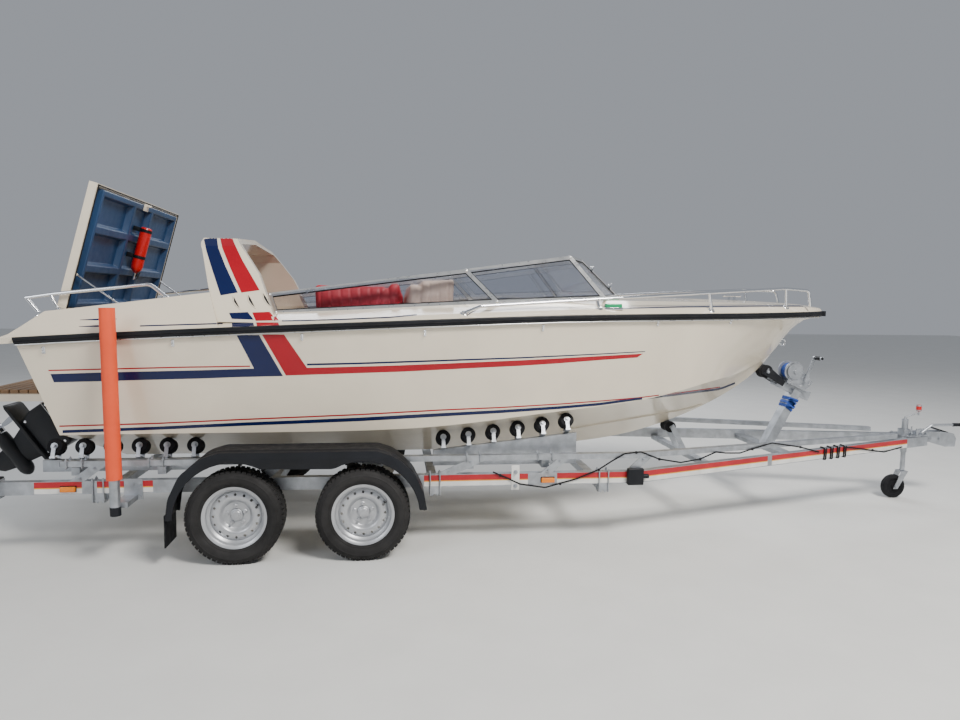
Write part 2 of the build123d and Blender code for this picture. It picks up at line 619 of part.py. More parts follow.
def arm_y(x):
    # Middle of the drawn-in rails at a point ahead of the bend
    return rail_y + (nose_y - rail_y) * (x - rail_bend_x) / (nose_x - rail_bend_x)


def between_arms(x0, x1, z0, z1):
    # A cross-member that fits between the drawn-in rails
    half = arm_y(max(x0, x1)) - rail_width / 2 - seat_gap
    return box(x0, x1, -half, half, z0, z1)


def arm(z0_aft, z1_aft, z0_nose, z1_nose, end_x):
    # A rail drawn in from the bend to the nose, as a loft between its two ends
    aft = section(rail_bend_x, [(rail_inner, z0_aft), (rail_outer, z0_aft), (rail_outer, z1_aft), (rail_inner, z1_aft)])
    y = arm_y(end_x)
    half = rail_width / 2
    nose = section(end_x, [(y - half, z0_nose), (y + half, z0_nose), (y + half, z1_nose), (y - half, z1_nose)])
    return loft([aft, nose], ruled=True)


nose_top = nose_z + 70
lower_arm = arm(lower_rail_z, lower_rail_top, nose_z - 8, nose_top, nose_x)
upper_arm = arm(upper_rail_z, upper_rail_top, 552, 552 + upper_rail_height, 4700)
save("drawbar", lower_arm, mirrored(lower_arm), upper_arm, mirrored(upper_arm))

# Leaning plates between the lower and the upper rail
gussets = []
for foot_x, foot_width, lean in ((-1420, 90, 120), (-300, 90, 110), (850, 130, 200), (1560, 80, 110), (rail_bend_x - 100, 80, 100)):
    plate_points = [(foot_x, lower_rail_top), (foot_x + foot_width, lower_rail_top),
                    (foot_x + foot_width + lean, upper_rail_z), (foot_x + lean, upper_rail_z)]
    gusset = side_view(plate_points, rail_outer - 8, rail_outer) - lower_arm - upper_arm
    gusset = max(gusset.solids(), key=lambda solid: solid.volume)
    gussets.extend([gusset, mirrored(gusset)])

# Cross-members under the lower rails
cross_height = 50.0
cross_members = [box(x - 30, x + 30, -rail_outer, rail_outer, lower_rail_z - cross_height, lower_rail_z)
                 for x in (-1250, 850, 2000)]
save("cross_members", *cross_members)

# Axles: a tube under the rails, trailing arms and stub axles
axle_lead = 150.0
axle_tube_z = 358.0
axle_beams = []
swing_inner_y = 866.0
swing_outer_y = 892.0
for axle_x in (-axle_spacing / 2, axle_spacing / 2):
    beam = box(axle_x + axle_lead - 35, axle_x + axle_lead + 35, -swing_outer_y + 4, swing_outer_y - 4,
               lower_rail_z - 70, lower_rail_z)
    for side in (-1, 1):
        y0, y1 = sorted((side * swing_inner_y, side * swing_outer_y))
        suspension = side_view([(axle_x - 32, tyre_radius - 28), (axle_x + axle_lead + 20, axle_tube_z - 30),
                                (axle_x + axle_lead + 36, axle_tube_z + 20), (axle_x + axle_lead - 10, axle_tube_z + 40),
                                (axle_x - 32, tyre_radius + 34)], y0, y1)
        stub = rod((axle_x, side * (swing_inner_y + 2), tyre_radius), (axle_x, side * 1008, tyre_radius), stub_radius)
        beam = beam + suspension + stub
    axle_beams.append(beam)
save("axles", *axle_beams)

# Wheels: steel rim with its drum and hub, and tyre
rim_outer_y = 1066.0 - wheel_y
rim_inner_y = -76.0
barrel = 5.0
rim_profile = [
    (rim_radius, rim_outer_y), (rim_radius, rim_outer_y - 6), (rim_radius - 16, rim_outer_y - 12),
    (rim_radius - 18, rim_outer_y - 38), (rim_radius - 34, rim_outer_y - 48), (rim_radius - 34, rim_inner_y + 44),
    (rim_radius - 18, rim_inner_y + 34), (rim_radius - 16, rim_inner_y + 10), (rim_radius, rim_inner_y + 6),
    (rim_radius, rim_inner_y), (rim_radius - 21, rim_inner_y + 4), (rim_radius - 23, rim_inner_y + 32),
    (rim_radius - 39, rim_inner_y + 42), (rim_radius - 39, 2), (118, 18), (94, 6), (82, -10), (68, -12), (68, -15),
    (112, -15), (112, -90), (stub_radius + running_clearance, -90), (stub_radius + running_clearance, 6),
    (40, 6), (44, -5), (84, -2), (98, 14), (122, 26), (rim_radius - 39, 10), (rim_radius - 39, rim_outer_y - 50),
    (rim_radius - 23, rim_outer_y - 40), (rim_radius - 21, rim_outer_y - 4)]
rim = turned(rim_profile)
rim_holes = [Rot(0, 360 / 16 * i, 0) * rod((136, 0, 0), (136, 50, 0), 8.5) for i in range(16)]
for hole in rim_holes:
    rim = rim - hole
studs = [Rot(0, 72 * i, 0) * rod((56, -12, 0), (56, 10, 0), 8) for i in range(5)]
for stud in studs:
    rim = rim + stud
bead = rim_radius - 17
half_tyre = tyre_width / 2
tyre_profile = [(bead, -half_tyre + 26), (rim_radius + 4, -half_tyre + 12), (rim_radius + 40, -half_tyre),
                (tyre_radius - 26, -half_tyre + 5), (tyre_radius - 7, -half_tyre + 22), (tyre_radius, -half_tyre + 44),
                (tyre_radius, half_tyre - 44), (tyre_radius - 7, half_tyre - 22), (tyre_radius - 26, half_tyre - 5),
                (rim_radius + 40, half_tyre), (rim_radius + 4, half_tyre - 12), (bead, half_tyre - 28)]
rim_seat = turned([(0, rim_inner_y - 1), (rim_radius, rim_inner_y - 1)] + list(reversed(rim_profile[1:10]))
                  + [(rim_radius, rim_outer_y + 1), (0, rim_outer_y + 1)])
tyre = turned(tyre_profile) - rim_seat
for axle_name, axle_x in (("rear", -axle_spacing / 2), ("front", axle_spacing / 2)):
    place = Pos(axle_x, wheel_y, tyre_radius)
    save(f"rim_{axle_name}_left", place * rim)
    save(f"rim_{axle_name}_right", mirrored(place * rim))
    save(f"tyre_{axle_name}_left", place * tyre)
    save(f"tyre_{axle_name}_right", mirrored(place * tyre))

# Tandem mudguards
guard_wall = 6.0
guard_outline = [(-780, 300), (-752, 460), (-668, 600), (-571, 680), (-484, 716), (494, 716), (581, 680),
                 (678, 600), (762, 460), (785, 330)]
guard_y0 = 880.0
guard_y1 = 1110.0
guard_inner = [(x * 0.988, z - guard_wall) for x, z in guard_outline]
guard_inner[0] = (guard_outline[0][0] + guard_wall + 2, 300)
guard_inner[-1] = (guard_outline[-1][0] - guard_wall - 2, 330)
guard_band = side_view(guard_outline + list(reversed(guard_inner)), guard_y0, guard_y1)
lip_inner = [(x * 0.93, z - 30) for x, z in guard_outline]
lip_inner[0] = (guard_outline[0][0] + 38, 300)
lip_inner[-1] = (guard_outline[-1][0] - 38, 330)
guard_lip = side_view(guard_outline + list(reversed(lip_inner)), guard_y1 - guard_wall, guard_y1)
middle_web = side_view([(-120, 712), (-60, 610), (60, 610), (120, 712)], guard_y1 - guard_wall, guard_y1)
flap = box(-788, -776, guard_y0 + 10, guard_y1 - 8, 130, 320)
guard = guard_band + guard_lip + middle_web + flap
save("mudguards", guard, mirrored(guard))
guard_stays = []
for x in (-560, 0, 560):
    stay = box(x - 20, x + 20, rail_outer, guard_y0 + 120, 640, 646) + box(x - 20, x + 20, rail_outer, rail_outer + 6, 600, 646)
    stay = stay + box(x - 20, x + 20, guard_y0 + 60, guard_y0 + 66, 640, 730) - guard
    stay = max(stay.solids(), key=lambda solid: solid.volume)
    guard_stays.extend([stay, mirrored(stay)])

# Roller cradles: a beam on each side, front and rear, with six rollers under the hull

cradle_middles = (-1144.0, 1345.0)


def hull_bottom_z(x, y):
    # Height of the hull's skin above a point on the ground
    plumb = Edge.make_line((x, y, 0), (x, y, 3000)) & hull_outer
    return plumb.bounding_box().min.Z


roller_y = 640.0
roller_seat_gap = 1.0
rollers = []
brackets = []
for centre_x in cradle_middles:
    first_x = centre_x - 2.5 * roller_pitch
    for side in (-1, 1):
        tops = []
        for i in range(6):
            x = first_x + roller_pitch * i
            y = side * roller_y
            tilt = math.degrees(math.atan2(hull_bottom_z(x, 700) - hull_bottom_z(x, 580), 120))
            lean = math.radians(tilt)
            centre = Vector(x, side * (roller_y + roller_radius * math.sin(lean)),
                            hull_bottom_z(x, roller_y) - (roller_radius + roller_seat_gap) * math.cos(lean))
            axis = Vector(0, math.cos(lean), side * math.sin(lean))
            below = Vector(0, side * math.sin(lean), -math.cos(lean))
            end0 = centre - axis * (roller_length / 2)
            end1 = centre + axis * (roller_length / 2)
            pin = rod(tuple(centre - axis * (roller_length / 2 + 16)), tuple(centre + axis * (roller_length / 2 + 16)), 8)
            rollers.append(rod(tuple(end0), tuple(end1), roller_radius) - rod(tuple(end0), tuple(end1), 8 + joint_gap))
            cheeks = []
            for end in (-1, 1):
                at = centre + axis * end * (roller_length / 2 + 6)
                low = at + below * 74
                cheeks.append(bar(tuple(low), tuple(at - below * 12), 6, 24))
            base = bar(tuple(centre + below * 74 - axis * 50), tuple(centre + below * 74 + axis * 50), 32, 10, side=(1, 0, 0))
            brackets.append(pin + cheeks[0] + cheeks[1] + base)
            tops.append((x, centre.Z - 76))
        beam_low_z = upper_rail_z - 66
        beam_points = [(tops[0][0] - 70, beam_low_z), (tops[-1][0] + 70, beam_low_z),
                       (tops[-1][0] + 70, tops[-1][1]), (tops[0][0] - 70, tops[0][1])]
        y_mid = side * (roller_y + 42)
        brackets.append(side_view(beam_points, y_mid - 20, y_mid + 20))
        for post_x in (tops[1][0], tops[4][0]):
            reach = sorted((y_mid, side * rail_inner))
            brackets.append(box(post_x - 25, post_x + 25, reach[0], reach[1], beam_low_z, beam_low_z + 50))

# Keel roller on its posts, between the drawn-in rails
keel_roller_x = 2800.0
keel_roller_z = hull_bottom_z(keel_roller_x, 0) - 48.0
keel_roller = rod((keel_roller_x, -62, keel_roller_z), (keel_roller_x, 62, keel_roller_z), 45)
keel_roller = keel_roller - rod((keel_roller_x, -70, keel_roller_z), (keel_roller_x, 70, keel_roller_z), 10 + joint_gap)
keel_posts = rod((keel_roller_x, -90, keel_roller_z), (keel_roller_x, 90, keel_roller_z), 10)
for side in (-1, 1):
    keel_posts = keel_posts + bar((keel_roller_x + 120, side * 78, 440), (keel_roller_x, side * 78, keel_roller_z + 16), 8, 40)
keel_cross_x = keel_roller_x + 130
keel_posts = keel_posts + between_arms(keel_cross_x - 30, keel_cross_x + 30, 410, 446)
cradle_parts = brackets[0]
for piece in brackets[1:]:
    cradle_parts = cradle_parts + piece
save("roller_cradles", cradle_parts, keel_posts)

# Winch post, leaning forward, with a sloping arm on its head
post_foot = (3650.0, 0.0, 470.0)
post_head = (3890.0, 0.0, 930.0)
winch_post = bar(post_foot, post_head, 90, 70)
winch_post = winch_post + between_arms(3600, 3700, 446, 480)
arm_start = (3690.0, 0.0, 1019.0)
arm_end = (4010.0, 0.0, 880.0)
winch_arm = bar(arm_start, arm_end, 40, 76)
bow_roller_x = 3612.0
bow_roller_z = 1090.0
bow_roller_radius = 54.0
bow_roller_pin = rod((bow_roller_x, -62, bow_roller_z), (bow_roller_x, 62, bow_roller_z), 9)
ears = [bar((3760, side * 52, 992), (bow_roller_x - 8, side * 52, bow_roller_z + 8), 7, 50) for side in (-1, 1)]
ears.append(box(3700, 3750, -50, 50, 985, 1025))
winch_post = winch_post + winch_arm + bow_roller_pin + ears[0] + ears[1] + ears[2]
save("winch_post", winch_post)
bow_roller = rod((bow_roller_x, -46, bow_roller_z), (bow_roller_x, 46, bow_roller_z), bow_roller_radius)
bow_roller = bow_roller - rod((bow_roller_x, -60, bow_roller_z), (bow_roller_x, 60, bow_roller_z), 9 + joint_gap)
save("hull_rollers", keel_roller, bow_roller, *rollers)

# Winch: drum between two plates, gear cover and crank
winch_x = 3845.0
winch_z = 1092.0
drum_radius = 40.0
flange_radius = 82.0
winch = rod((winch_x, -48, winch_z), (winch_x, 48, winch_z), drum_radius)
for side in (-1, 1):
    winch = winch + rod((winch_x, side * 48, winch_z), (winch_x, side * 52, winch_z), flange_radius)
    cheek = [(winch_x - 62, winch_z - 92), (winch_x + 100, winch_z - 162), (winch_x + 165, winch_z - 92),
             (winch_x + 60, winch_z + 20), (winch_x - 30, winch_z + 18)]
    y0, y1 = sorted((side * 54, side * 59))
    winch = winch + side_view(cheek, y0, y1)
winch = winch + rod((winch_x, -64, winch_z), (winch_x, 64, winch_z), 12)
winch = winch + rod((winch_x + 90, -60, winch_z - 66), (winch_x + 90, 60, winch_z - 66), 24)
crank_x = winch_x + 90
crank_z = winch_z - 66
crank = rod((crank_x, -60, crank_z), (crank_x, -92, crank_z), 10)
crank = crank + bar((crank_x - 10, -86, crank_z - 16), (winch_x + 150, -86, winch_z + 118), 8, 26)
crank = crank + rod((winch_x + 150, -80, winch_z + 116), (winch_x + 150, -190, winch_z + 116), 15)
winch_bolts = [rod((x, -59, z), (x, 59, z), 8) for x, z in ((winch_x + 5, winch_z - 111), (winch_x + 80, winch_z - 143))]
winch = winch + crank + winch_bolts[0] + winch_bolts[1] - winch_post
save("winch", winch)
# Strap on the drum, wound round the post below
strap_coil = rod((winch_x, -46, winch_z), (winch_x, 46, winch_z), 58) - rod((winch_x, -50, winch_z), (winch_x, 50, winch_z), drum_radius)
post_line = Vector(*post_head) - Vector(*post_foot)
wrap_low = Vector(*post_foot) + post_line * 0.70
wrap_high = Vector(*post_foot) + post_line * 0.85
strap_wrap = bar(tuple(wrap_low), tuple(wrap_high), 90 + 18, 70 + 18)
strap_wrap = strap_wrap - bar(tuple(wrap_low - post_line * 0.1), tuple(wrap_high + post_line * 0.1),
                              90 + 2 * joint_gap, 70 + 2 * joint_gap)
save("winch_strap", strap_coil, strap_wrap)

# Jockey wheel, lowered to the ground: clamp, tube, screw stem, fork and wheel
jockey_x = 4912.0
jockey_y = 0.0
jockey_radius = 100.0
tube_radius = 24.0
tube_length = 285.0
clamp_z = 596.0
lowered_by = 120.0
stem_out = 130.0
tube_top_z = 800.0 - lowered_by
stem_radius = 19.0
tube_bottom_z = tube_top_z - tube_length
fork_top_z = 2 * jockey_radius + 34.0
# The clamp: four jaws round the tube, with a wing on each side that is bolted to the rails
jaw_in = tube_radius + seat_gap
clamp_low = clamp_z - 60
side_jaws = [box(jockey_x - 34, jockey_x + 34, *sorted((side * jaw_in, side * 40)), clamp_low, clamp_z) for side in (-1, 1)]
end_jaws = [box(*sorted((jockey_x + end * jaw_in, jockey_x + end * 34)), -jaw_in + seat_gap, jaw_in - seat_gap,
                clamp_low, clamp_z) for end in (-1, 1)]
wing_x = jockey_x + 60
wing_z = nose_top + (lower_rail_top - nose_top) * (nose_x - wing_x) / (nose_x - rail_bend_x) + seat_gap
wings = [box(jockey_x - 60, wing_x, *sorted((side * 40, side * 110)), wing_z, wing_z + 8) for side in (-1, 1)]
save("jockey_clamp", *side_jaws, *end_jaws, *wings)
jockey_tube = Pos(jockey_x, jockey_y, (tube_top_z + tube_bottom_z) / 2) * Cylinder(tube_radius, tube_length)
jockey_tube = jockey_tube - Pos(jockey_x, jockey_y, (tube_top_z - 30 + tube_bottom_z) / 2) * Cylinder(
    stem_radius + running_clearance, tube_length - 30)
crank_top = tube_top_z + 20
jockey_crank = rod((jockey_x, jockey_y, tube_top_z - 5), (jockey_x, jockey_y, crank_top), 9)
jockey_crank = jockey_crank + rod((jockey_x, jockey_y, crank_top - 4), (jockey_x + 120, jockey_y, crank_top + 34), 6)
jockey_crank = jockey_crank + rod((jockey_x + 120, jockey_y, crank_top + 10), (jockey_x + 120, jockey_y, crank_top + 60), 6)
jockey_knob = rod((jockey_x + 120, jockey_y, crank_top + 50), (jockey_x + 120, jockey_y, crank_top + 100), 21)
save("jockey_tube", jockey_tube + jockey_crank + jockey_knob)
stem_top_z = tube_bottom_z + tube_length - 30 - stem_out - 10
jockey_stem = rod((jockey_x, jockey_y, fork_top_z + 8), (jockey_x, jockey_y, stem_top_z), stem_radius)
swivel_radius = 10.0
jockey_stem = jockey_stem - rod((jockey_x, jockey_y, fork_top_z), (jockey_x, jockey_y, fork_top_z + 60), swivel_radius + running_clearance)
save("jockey_stem", jockey_stem)
trail = 80.0
fork_half = 34.0
fork = box(jockey_x - 34, jockey_x + 26, jockey_y - fork_half - 5, jockey_y + fork_half + 5, fork_top_z - 8, fork_top_z)
fork = fork + rod((jockey_x, jockey_y, fork_top_z - 4), (jockey_x, jockey_y, fork_top_z + 56), swivel_radius)
for side in (-1, 1):
    y0, y1 = sorted((jockey_y + side * fork_half, jockey_y + side * (fork_half + 5)))
    fork = fork + side_view([(jockey_x - trail - 20, jockey_radius - 18), (jockey_x - trail + 20, jockey_radius - 18),
                             (jockey_x + 26, fork_top_z - 4), (jockey_x - 34, fork_top_z - 4)], y0, y1)
pin_radius = 8.0
fork = fork + rod((jockey_x - trail, jockey_y - fork_half - 9, jockey_radius),
                  (jockey_x - trail, jockey_y + fork_half + 9, jockey_radius), pin_radius)
save("jockey_fork", fork)
jockey_place = Pos(jockey_x - trail, jockey_y, jockey_radius)
jockey_hub = turned([(pin_radius + running_clearance, -28), (20, -28), (24, -16), (60, -14), (66, -24), (70, -24),
                     (70, 24), (66, 24), (60, 14), (24, 16), (20, 28), (pin_radius + running_clearance, 28)])
jockey_tyre = turned([(70, -26), (82, -28), (94, -24), (jockey_radius, -12), (jockey_radius, 12), (94, 24), (82, 28), (70, 26)])
save("jockey_wheel", jockey_place * (jockey_hub + jockey_tyre))

# Coupling head with its ball socket, on a plate across the nose of the frame
ball_x = 5312.0
ball_z = 452.0
head_z = nose_top + 1
coupling = box(wing_x + 2, nose_x + 20, -80, 80, nose_top + seat_gap, head_z + 9)
body_points = [(nose_x - 60, head_z + 9), (nose_x + 22, head_z + 9), (nose_x + 60, head_z - 60),
               (ball_x - 48, ball_z - 8), (ball_x + 46, ball_z - 8), (ball_x + 54, ball_z + 60),
               (ball_x + 30, ball_z + 104), (ball_x - 90, ball_z + 122), (nose_x - 60, head_z + 30)]
coupling = coupling + side_view(body_points, -42, 42)
socket = Pos(ball_x, 0, ball_z) * Sphere(ball_radius + 0.3) + rod((ball_x, 0, ball_z - 20), (ball_x, 0, ball_z), ball_radius + 0.3)
coupling = coupling - socket
coupling = coupling + bar((ball_x - 10, 0, ball_z + 106), (ball_x - 150, 0, ball_z + 150), 34, 12)
save("coupling", coupling)
brake_x = 5018.0
brake = box(brake_x - 42, brake_x + 50, -58, -50, head_z + 9, head_z + 60)
brake_lever = tube([(brake_x, -66, head_z + 28), (brake_x + 90, -66, head_z + 92), (brake_x + 400, -66, head_z + 92)], 30, 11)
save("handbrake", brake + brake_lever + rod((brake_x, -50, head_z + 24), (brake_x, -78, head_z + 24), 9))

# Guide posts: a tube on a bracket off the rail, in an orange sleeve
guide_x = -1075.0
guide_y = 1062.0
guide_lean = 12.0
guide_top_z = 1571.0
sleeve_radius = 44.0
post_radius = 30.0
guide_posts = []
guide_sleeves = []
for side in (-1, 1):
    foot = (guide_x, side * guide_y, 330)
    head = (guide_x - guide_lean, side * guide_y, guide_top_z - 8)
    post = rod(foot, head, post_radius)
    reach = sorted((side * rail_outer, side * (guide_y - post_radius + 6)))
    post = post + box(guide_x - 20, guide_x + 60, reach[0], reach[1], lower_rail_z - 40, lower_rail_z - 8)
    plate_y = sorted((side * rail_outer, side * (rail_outer + 8)))
    post = post + box(guide_x - 20, guide_x + 90, plate_y[0], plate_y[1], lower_rail_z - 40, lower_rail_top + 10)
    guide_posts.append(post)
    share = (549.0 - 330) / (guide_top_z - 8 - 330)
    low = (guide_x - guide_lean * share, side * guide_y, 549.0)
    top = (guide_x - guide_lean, side * guide_y, guide_top_z)
    sleeve = rod(low, top, sleeve_radius) - rod(low, head, post_radius + seat_gap)
    guide_sleeves.append(sleeve)
save("guide_posts", *guide_posts)
save("guide_sleeves", *guide_sleeves)

# Lamps: amber markers on the rails and rear clusters on their ends
markers = []
for x in (-1425.0, 1610.0):
    markers.append(box(x - 48, x + 48, -rail_outer - 22, -rail_outer - seat_gap, 422, 462))
    markers.append(box(x - 48, x + 48, rail_outer + seat_gap, rail_outer + 22, 422, 462))
rear_lamps = []
for side in (-1, 1):
    y0, y1 = sorted((side * (rail_inner - 40), side * (rail_outer + 90)))
    rear_lamps.append(box(rail_aft_x - 50, rail_aft_x - 8, y0, y1, lower_rail_z - 30, lower_rail_top + 20))
save("trailer_lamps", *markers, *rear_lamps)
rear_plates = [box(rail_aft_x - 8 + seat_gap, rail_aft_x - seat_gap, *sorted((side * (rail_inner - 30), side * (rail_outer + 80))),
                   lower_rail_z - 20, lower_rail_top + 10) for side in (-1, 1)]
save("frame_gussets", *gussets, *guard_stays, *rear_plates)

# Deck fittings: bow eye, stern eyes and cleats
bow_eye = Pos(3760, 0, 1330) * Rot(90, 0, 0) * Torus(24, 6)
eye_z = 1060.0
eye_radius = 22.0
eye_wire = 6.0
stern_eye_x = transom_x(eye_z) - eye_radius - 2 * eye_wire
stern_eyes = []
for side in (-1, 1):
    eye = Pos(stern_eye_x, side * 720, eye_z) * Rot(90, 0, 0) * Torus(eye_radius, eye_wire)
    eye = eye + rod((stern_eye_x + eye_radius, side * 720, eye_z), (transom_x(eye_z) + 10, side * 720, eye_z), 9)
    stern_eyes.append(eye)


def cleat(x, y, z):
    bar_part = rod((x - 75, y, z + 36), (x + 75, y, z + 36), 8)
    feet = box(x - 30, x - 14, y - 7, y + 7, z, z + 34) + box(x + 14, x + 30, y - 7, y + 7, z, z + 34)
    return bar_part + feet + box(x - 45, x + 45, y - 14, y + 14, z, z + 5)


def deck_top_z(x, y):
    plumb = Edge.make_line((x, y, 0), (x, y, 3000)) & deck_outer
    return plumb.bounding_box().max.Z


mooring_cleat = cleat(3300, 0, deck_top_z(3300, 0) - 2) - deck_outer
fixed_eyes = [max((eye - hull).solids(), key=lambda solid: solid.volume) for eye in [bow_eye, *stern_eyes]]
save("deck_fittings", *fixed_eyes, mooring_cleat)
lamp_x = 2050.0
lamp_y = 800.0
lamps = []
for side in (-1, 1):
    lamp_z = deck_top_z(lamp_x, side * lamp_y)
    lamps.append(box(lamp_x - 62, lamp_x + 62, side * lamp_y - 30, side * lamp_y + 30, lamp_z - 20, lamp_z + 34) - deck_outer)
save("nav_lights", *lamps)
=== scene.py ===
# %% [markdown]
# A sports boat on its trailer
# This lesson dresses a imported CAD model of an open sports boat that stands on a
# twin-axle roller trailer. The CAD model gives every piece its place and size, and
# each cell below makes one finish or one piece and fits it to that frame.

# %% Load the frame and keep its size
import math

import bmesh
import bpy
from mathutils import Matrix, Vector
from mathutils.bvhtree import BVHTree


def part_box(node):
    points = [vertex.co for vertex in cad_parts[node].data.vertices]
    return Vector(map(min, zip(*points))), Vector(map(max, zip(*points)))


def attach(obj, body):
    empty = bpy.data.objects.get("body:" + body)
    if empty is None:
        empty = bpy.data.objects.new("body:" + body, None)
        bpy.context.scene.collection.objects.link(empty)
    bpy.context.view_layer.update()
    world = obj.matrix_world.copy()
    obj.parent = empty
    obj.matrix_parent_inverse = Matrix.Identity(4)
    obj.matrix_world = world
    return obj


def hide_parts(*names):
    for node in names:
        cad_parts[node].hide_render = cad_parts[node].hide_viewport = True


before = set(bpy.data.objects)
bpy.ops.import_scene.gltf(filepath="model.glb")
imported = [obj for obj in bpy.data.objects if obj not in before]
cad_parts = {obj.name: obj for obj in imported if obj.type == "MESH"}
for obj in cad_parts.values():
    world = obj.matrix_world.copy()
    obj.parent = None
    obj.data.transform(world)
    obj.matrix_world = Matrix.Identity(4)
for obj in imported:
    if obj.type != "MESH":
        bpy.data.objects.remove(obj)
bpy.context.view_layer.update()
BASE = "boat_and_trailer"


def linked(name, data):
    # A new object that shows in the scene
    made = bpy.data.objects.new(name, data)
    bpy.context.collection.objects.link(made)
    return made


# %% [markdown]
# Places are easiest to read when they are counted from the middle of the two axles,
# because that is where a trailer is balanced. The tyres of the frame tell where that is.

# %% Places counted from the middle of the axles
tyre_low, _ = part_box("tyre_rear_left")
_, tyre_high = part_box("tyre_front_left")
axle_middle = (tyre_low.x + tyre_high.x) / 2
tyre_radius = (tyre_high.z - tyre_low.z) / 2


def place(x, y, z):
    return Vector((x + axle_middle, y, z))


# %% [markdown]
# The camera stands where the photographer stood: off the starboard side, a little
# above the rails of the trailer, with a wide lens. Its three axes are worked out from
# a yaw, a pitch and a roll, which is the surest way to repeat a measured view.

# %% Camera
camera_place = place(0.580, -5.354, 1.645)
camera_yaw = math.radians(7.1)
camera_pitch = math.radians(-4.96)
camera_roll = math.radians(0.74)
focal_pixels = 692.3
image_width, image_height = 960, 720
forward = Vector((math.sin(camera_yaw) * math.cos(camera_pitch),
                  math.cos(camera_yaw) * math.cos(camera_pitch), math.sin(camera_pitch)))
level_right = Vector((math.cos(camera_yaw), -math.sin(camera_yaw), 0))
level_up = level_right.cross(forward)
camera_right = level_right * math.cos(camera_roll) + level_up * math.sin(camera_roll)
camera_up = level_up * math.cos(camera_roll) - level_right * math.sin(camera_roll)
camera_data = bpy.data.cameras.new("camera")
camera_data.sensor_width = 36
camera_data.lens = focal_pixels / image_width * camera_data.sensor_width
camera_data.clip_start = 0.05
camera_data.clip_end = 200
camera = linked("camera", camera_data)
axes = Matrix((camera_right, camera_up, -forward)).transposed()
camera.matrix_world = Matrix.Translation(camera_place) @ axes.to_4x4()
bpy.context.scene.camera = camera

# %% [markdown]
# A studio has a pale floor and a few large soft lamps. A broad key light from the
# front and the right gives the hull its long highlight, a weaker one fills the shadow
# side, and a pale sky keeps chrome and glass from turning black.

# %% Floor, lamps and sky
floor_half = 30.0
floor_mesh = bpy.data.meshes.new("floor")
floor_corners = [(x * floor_half, y * floor_half, 0) for x, y in ((-1, -1), (1, -1), (1, 1), (-1, 1))]
floor_mesh.from_pydata(floor_corners, [], [(0, 1, 2, 3)])
floor = linked("floor", floor_mesh)


def soft_lamp(name, at, aim, size, watts, colour):
    data = bpy.data.lights.new(name, "AREA")
    data.shape = "RECTANGLE"
    data.size, data.size_y = size
    data.energy = watts
    data.color = colour
    lamp = linked(name, data)
    lamp.location = at
    lamp.rotation_mode = "QUATERNION"
    lamp.rotation_quaternion = (Vector(aim) - Vector(at)).to_track_quat("-Z", "Y")


soft_lamp("key", (3.0, -6.0, 7.5), (0, 0, 0.8), (3, 2), 1050, (1.0, 0.97, 0.92))
soft_lamp("fill", (-7.0, -6.0, 4.5), (0, 0, 0.8), (4, 4), 190, (0.92, 0.96, 1.0))
soft_lamp("back", (0.0, 7.0, 6.0), (0, 0, 1.0), (8, 3), 450, (0.95, 0.97, 1.0))
sky = bpy.data.worlds.new("sky")
sky.use_nodes = True
sky.node_tree.nodes["Background"].inputs["Color"].default_value = (0.86, 0.91, 1.0, 1)
sky.node_tree.nodes["Background"].inputs["Strength"].default_value = 0.38
bpy.context.scene.world = sky

# %% [markdown]
# Every finish is built from nodes. This small class keeps that short: it makes a
# material, holds its shader, and adds and joins the nodes that drive it. All patterns
# are laid out on the object's own coordinates, in metres.


# %% A small kit for materials
class Finish:
    def __init__(self, name, colour, roughness, metallic=0.0):
        self.material = bpy.data.materials.new(name)
        self.material.use_nodes = True
        self.tree = self.material.node_tree
        self.shader = self.tree.nodes["Principled BSDF"]
        self.place = None
        self.set({"Base Color": (*colour, 1), "Roughness": roughness, "Metallic": metallic})

    def set(self, values):
        for label, value in values.items():
            self.shader.inputs[label].default_value = value

    def node(self, kind, values, **joined):
        # A new node with some values set, and with outputs joined to some of its inputs
        made = self.tree.nodes.new(kind)
        for label, value in values.items():
            made.inputs[label].default_value = value
        for label, source in joined.items():
            self.tree.links.new(source, made.inputs[label])
        return made

    def noise(self, scale, detail=4.0):
        if self.place is None:
            self.place = self.node("ShaderNodeTexCoord", {}).outputs["Object"]
        made = self.node("ShaderNodeTexNoise", {"Scale": scale, "Detail": detail}, Vector=self.place)
        return made.outputs["Fac"]

    def drive(self, label, source):
        self.tree.links.new(source, self.shader.inputs[label])

    def colour_from(self, source, dark, light):
        made = self.node("ShaderNodeValToRGB", {}, Fac=source)
        for element, at, colour in zip(made.color_ramp.elements, (0.35, 0.65), (dark, light)):
            element.position = at
            element.color = (*colour, 1)
        self.drive("Base Color", made.outputs["Color"])

    def rough_from(self, source, low, high):
        spread = {"From Min": 0.3, "From Max": 0.7, "To Min": low, "To Max": high}
        made = self.node("ShaderNodeMapRange", spread, Value=source)
        self.drive("Roughness", made.outputs["Result"])

    def bump(self, height, distance, strength=1.0):
        made = self.node("ShaderNodeBump", {"Distance": distance, "Strength": strength}, Height=height)
        self.drive("Normal", made.outputs["Normal"])


def plain(name, colour, roughness, metallic=0.0, mottle=0.06, grain=0.0004, grain_scale=400.0,
          wear_scale=3.0):
    # A finish whose colour drifts a little and whose surface has a fine grain
    made = Finish(name, colour, roughness, metallic)
    drift = made.noise(wear_scale, 5.0)
    dark = tuple(c * (1 - mottle) for c in colour)
    light = tuple(min(1.0, c * (1 + mottle)) for c in colour)
    made.colour_from(drift, dark, light)
    made.rough_from(made.noise(wear_scale * 7), roughness * 0.85, min(1.0, roughness * 1.2))
    if grain:
        made.bump(made.noise(grain_scale, 3.0), grain)
    return made


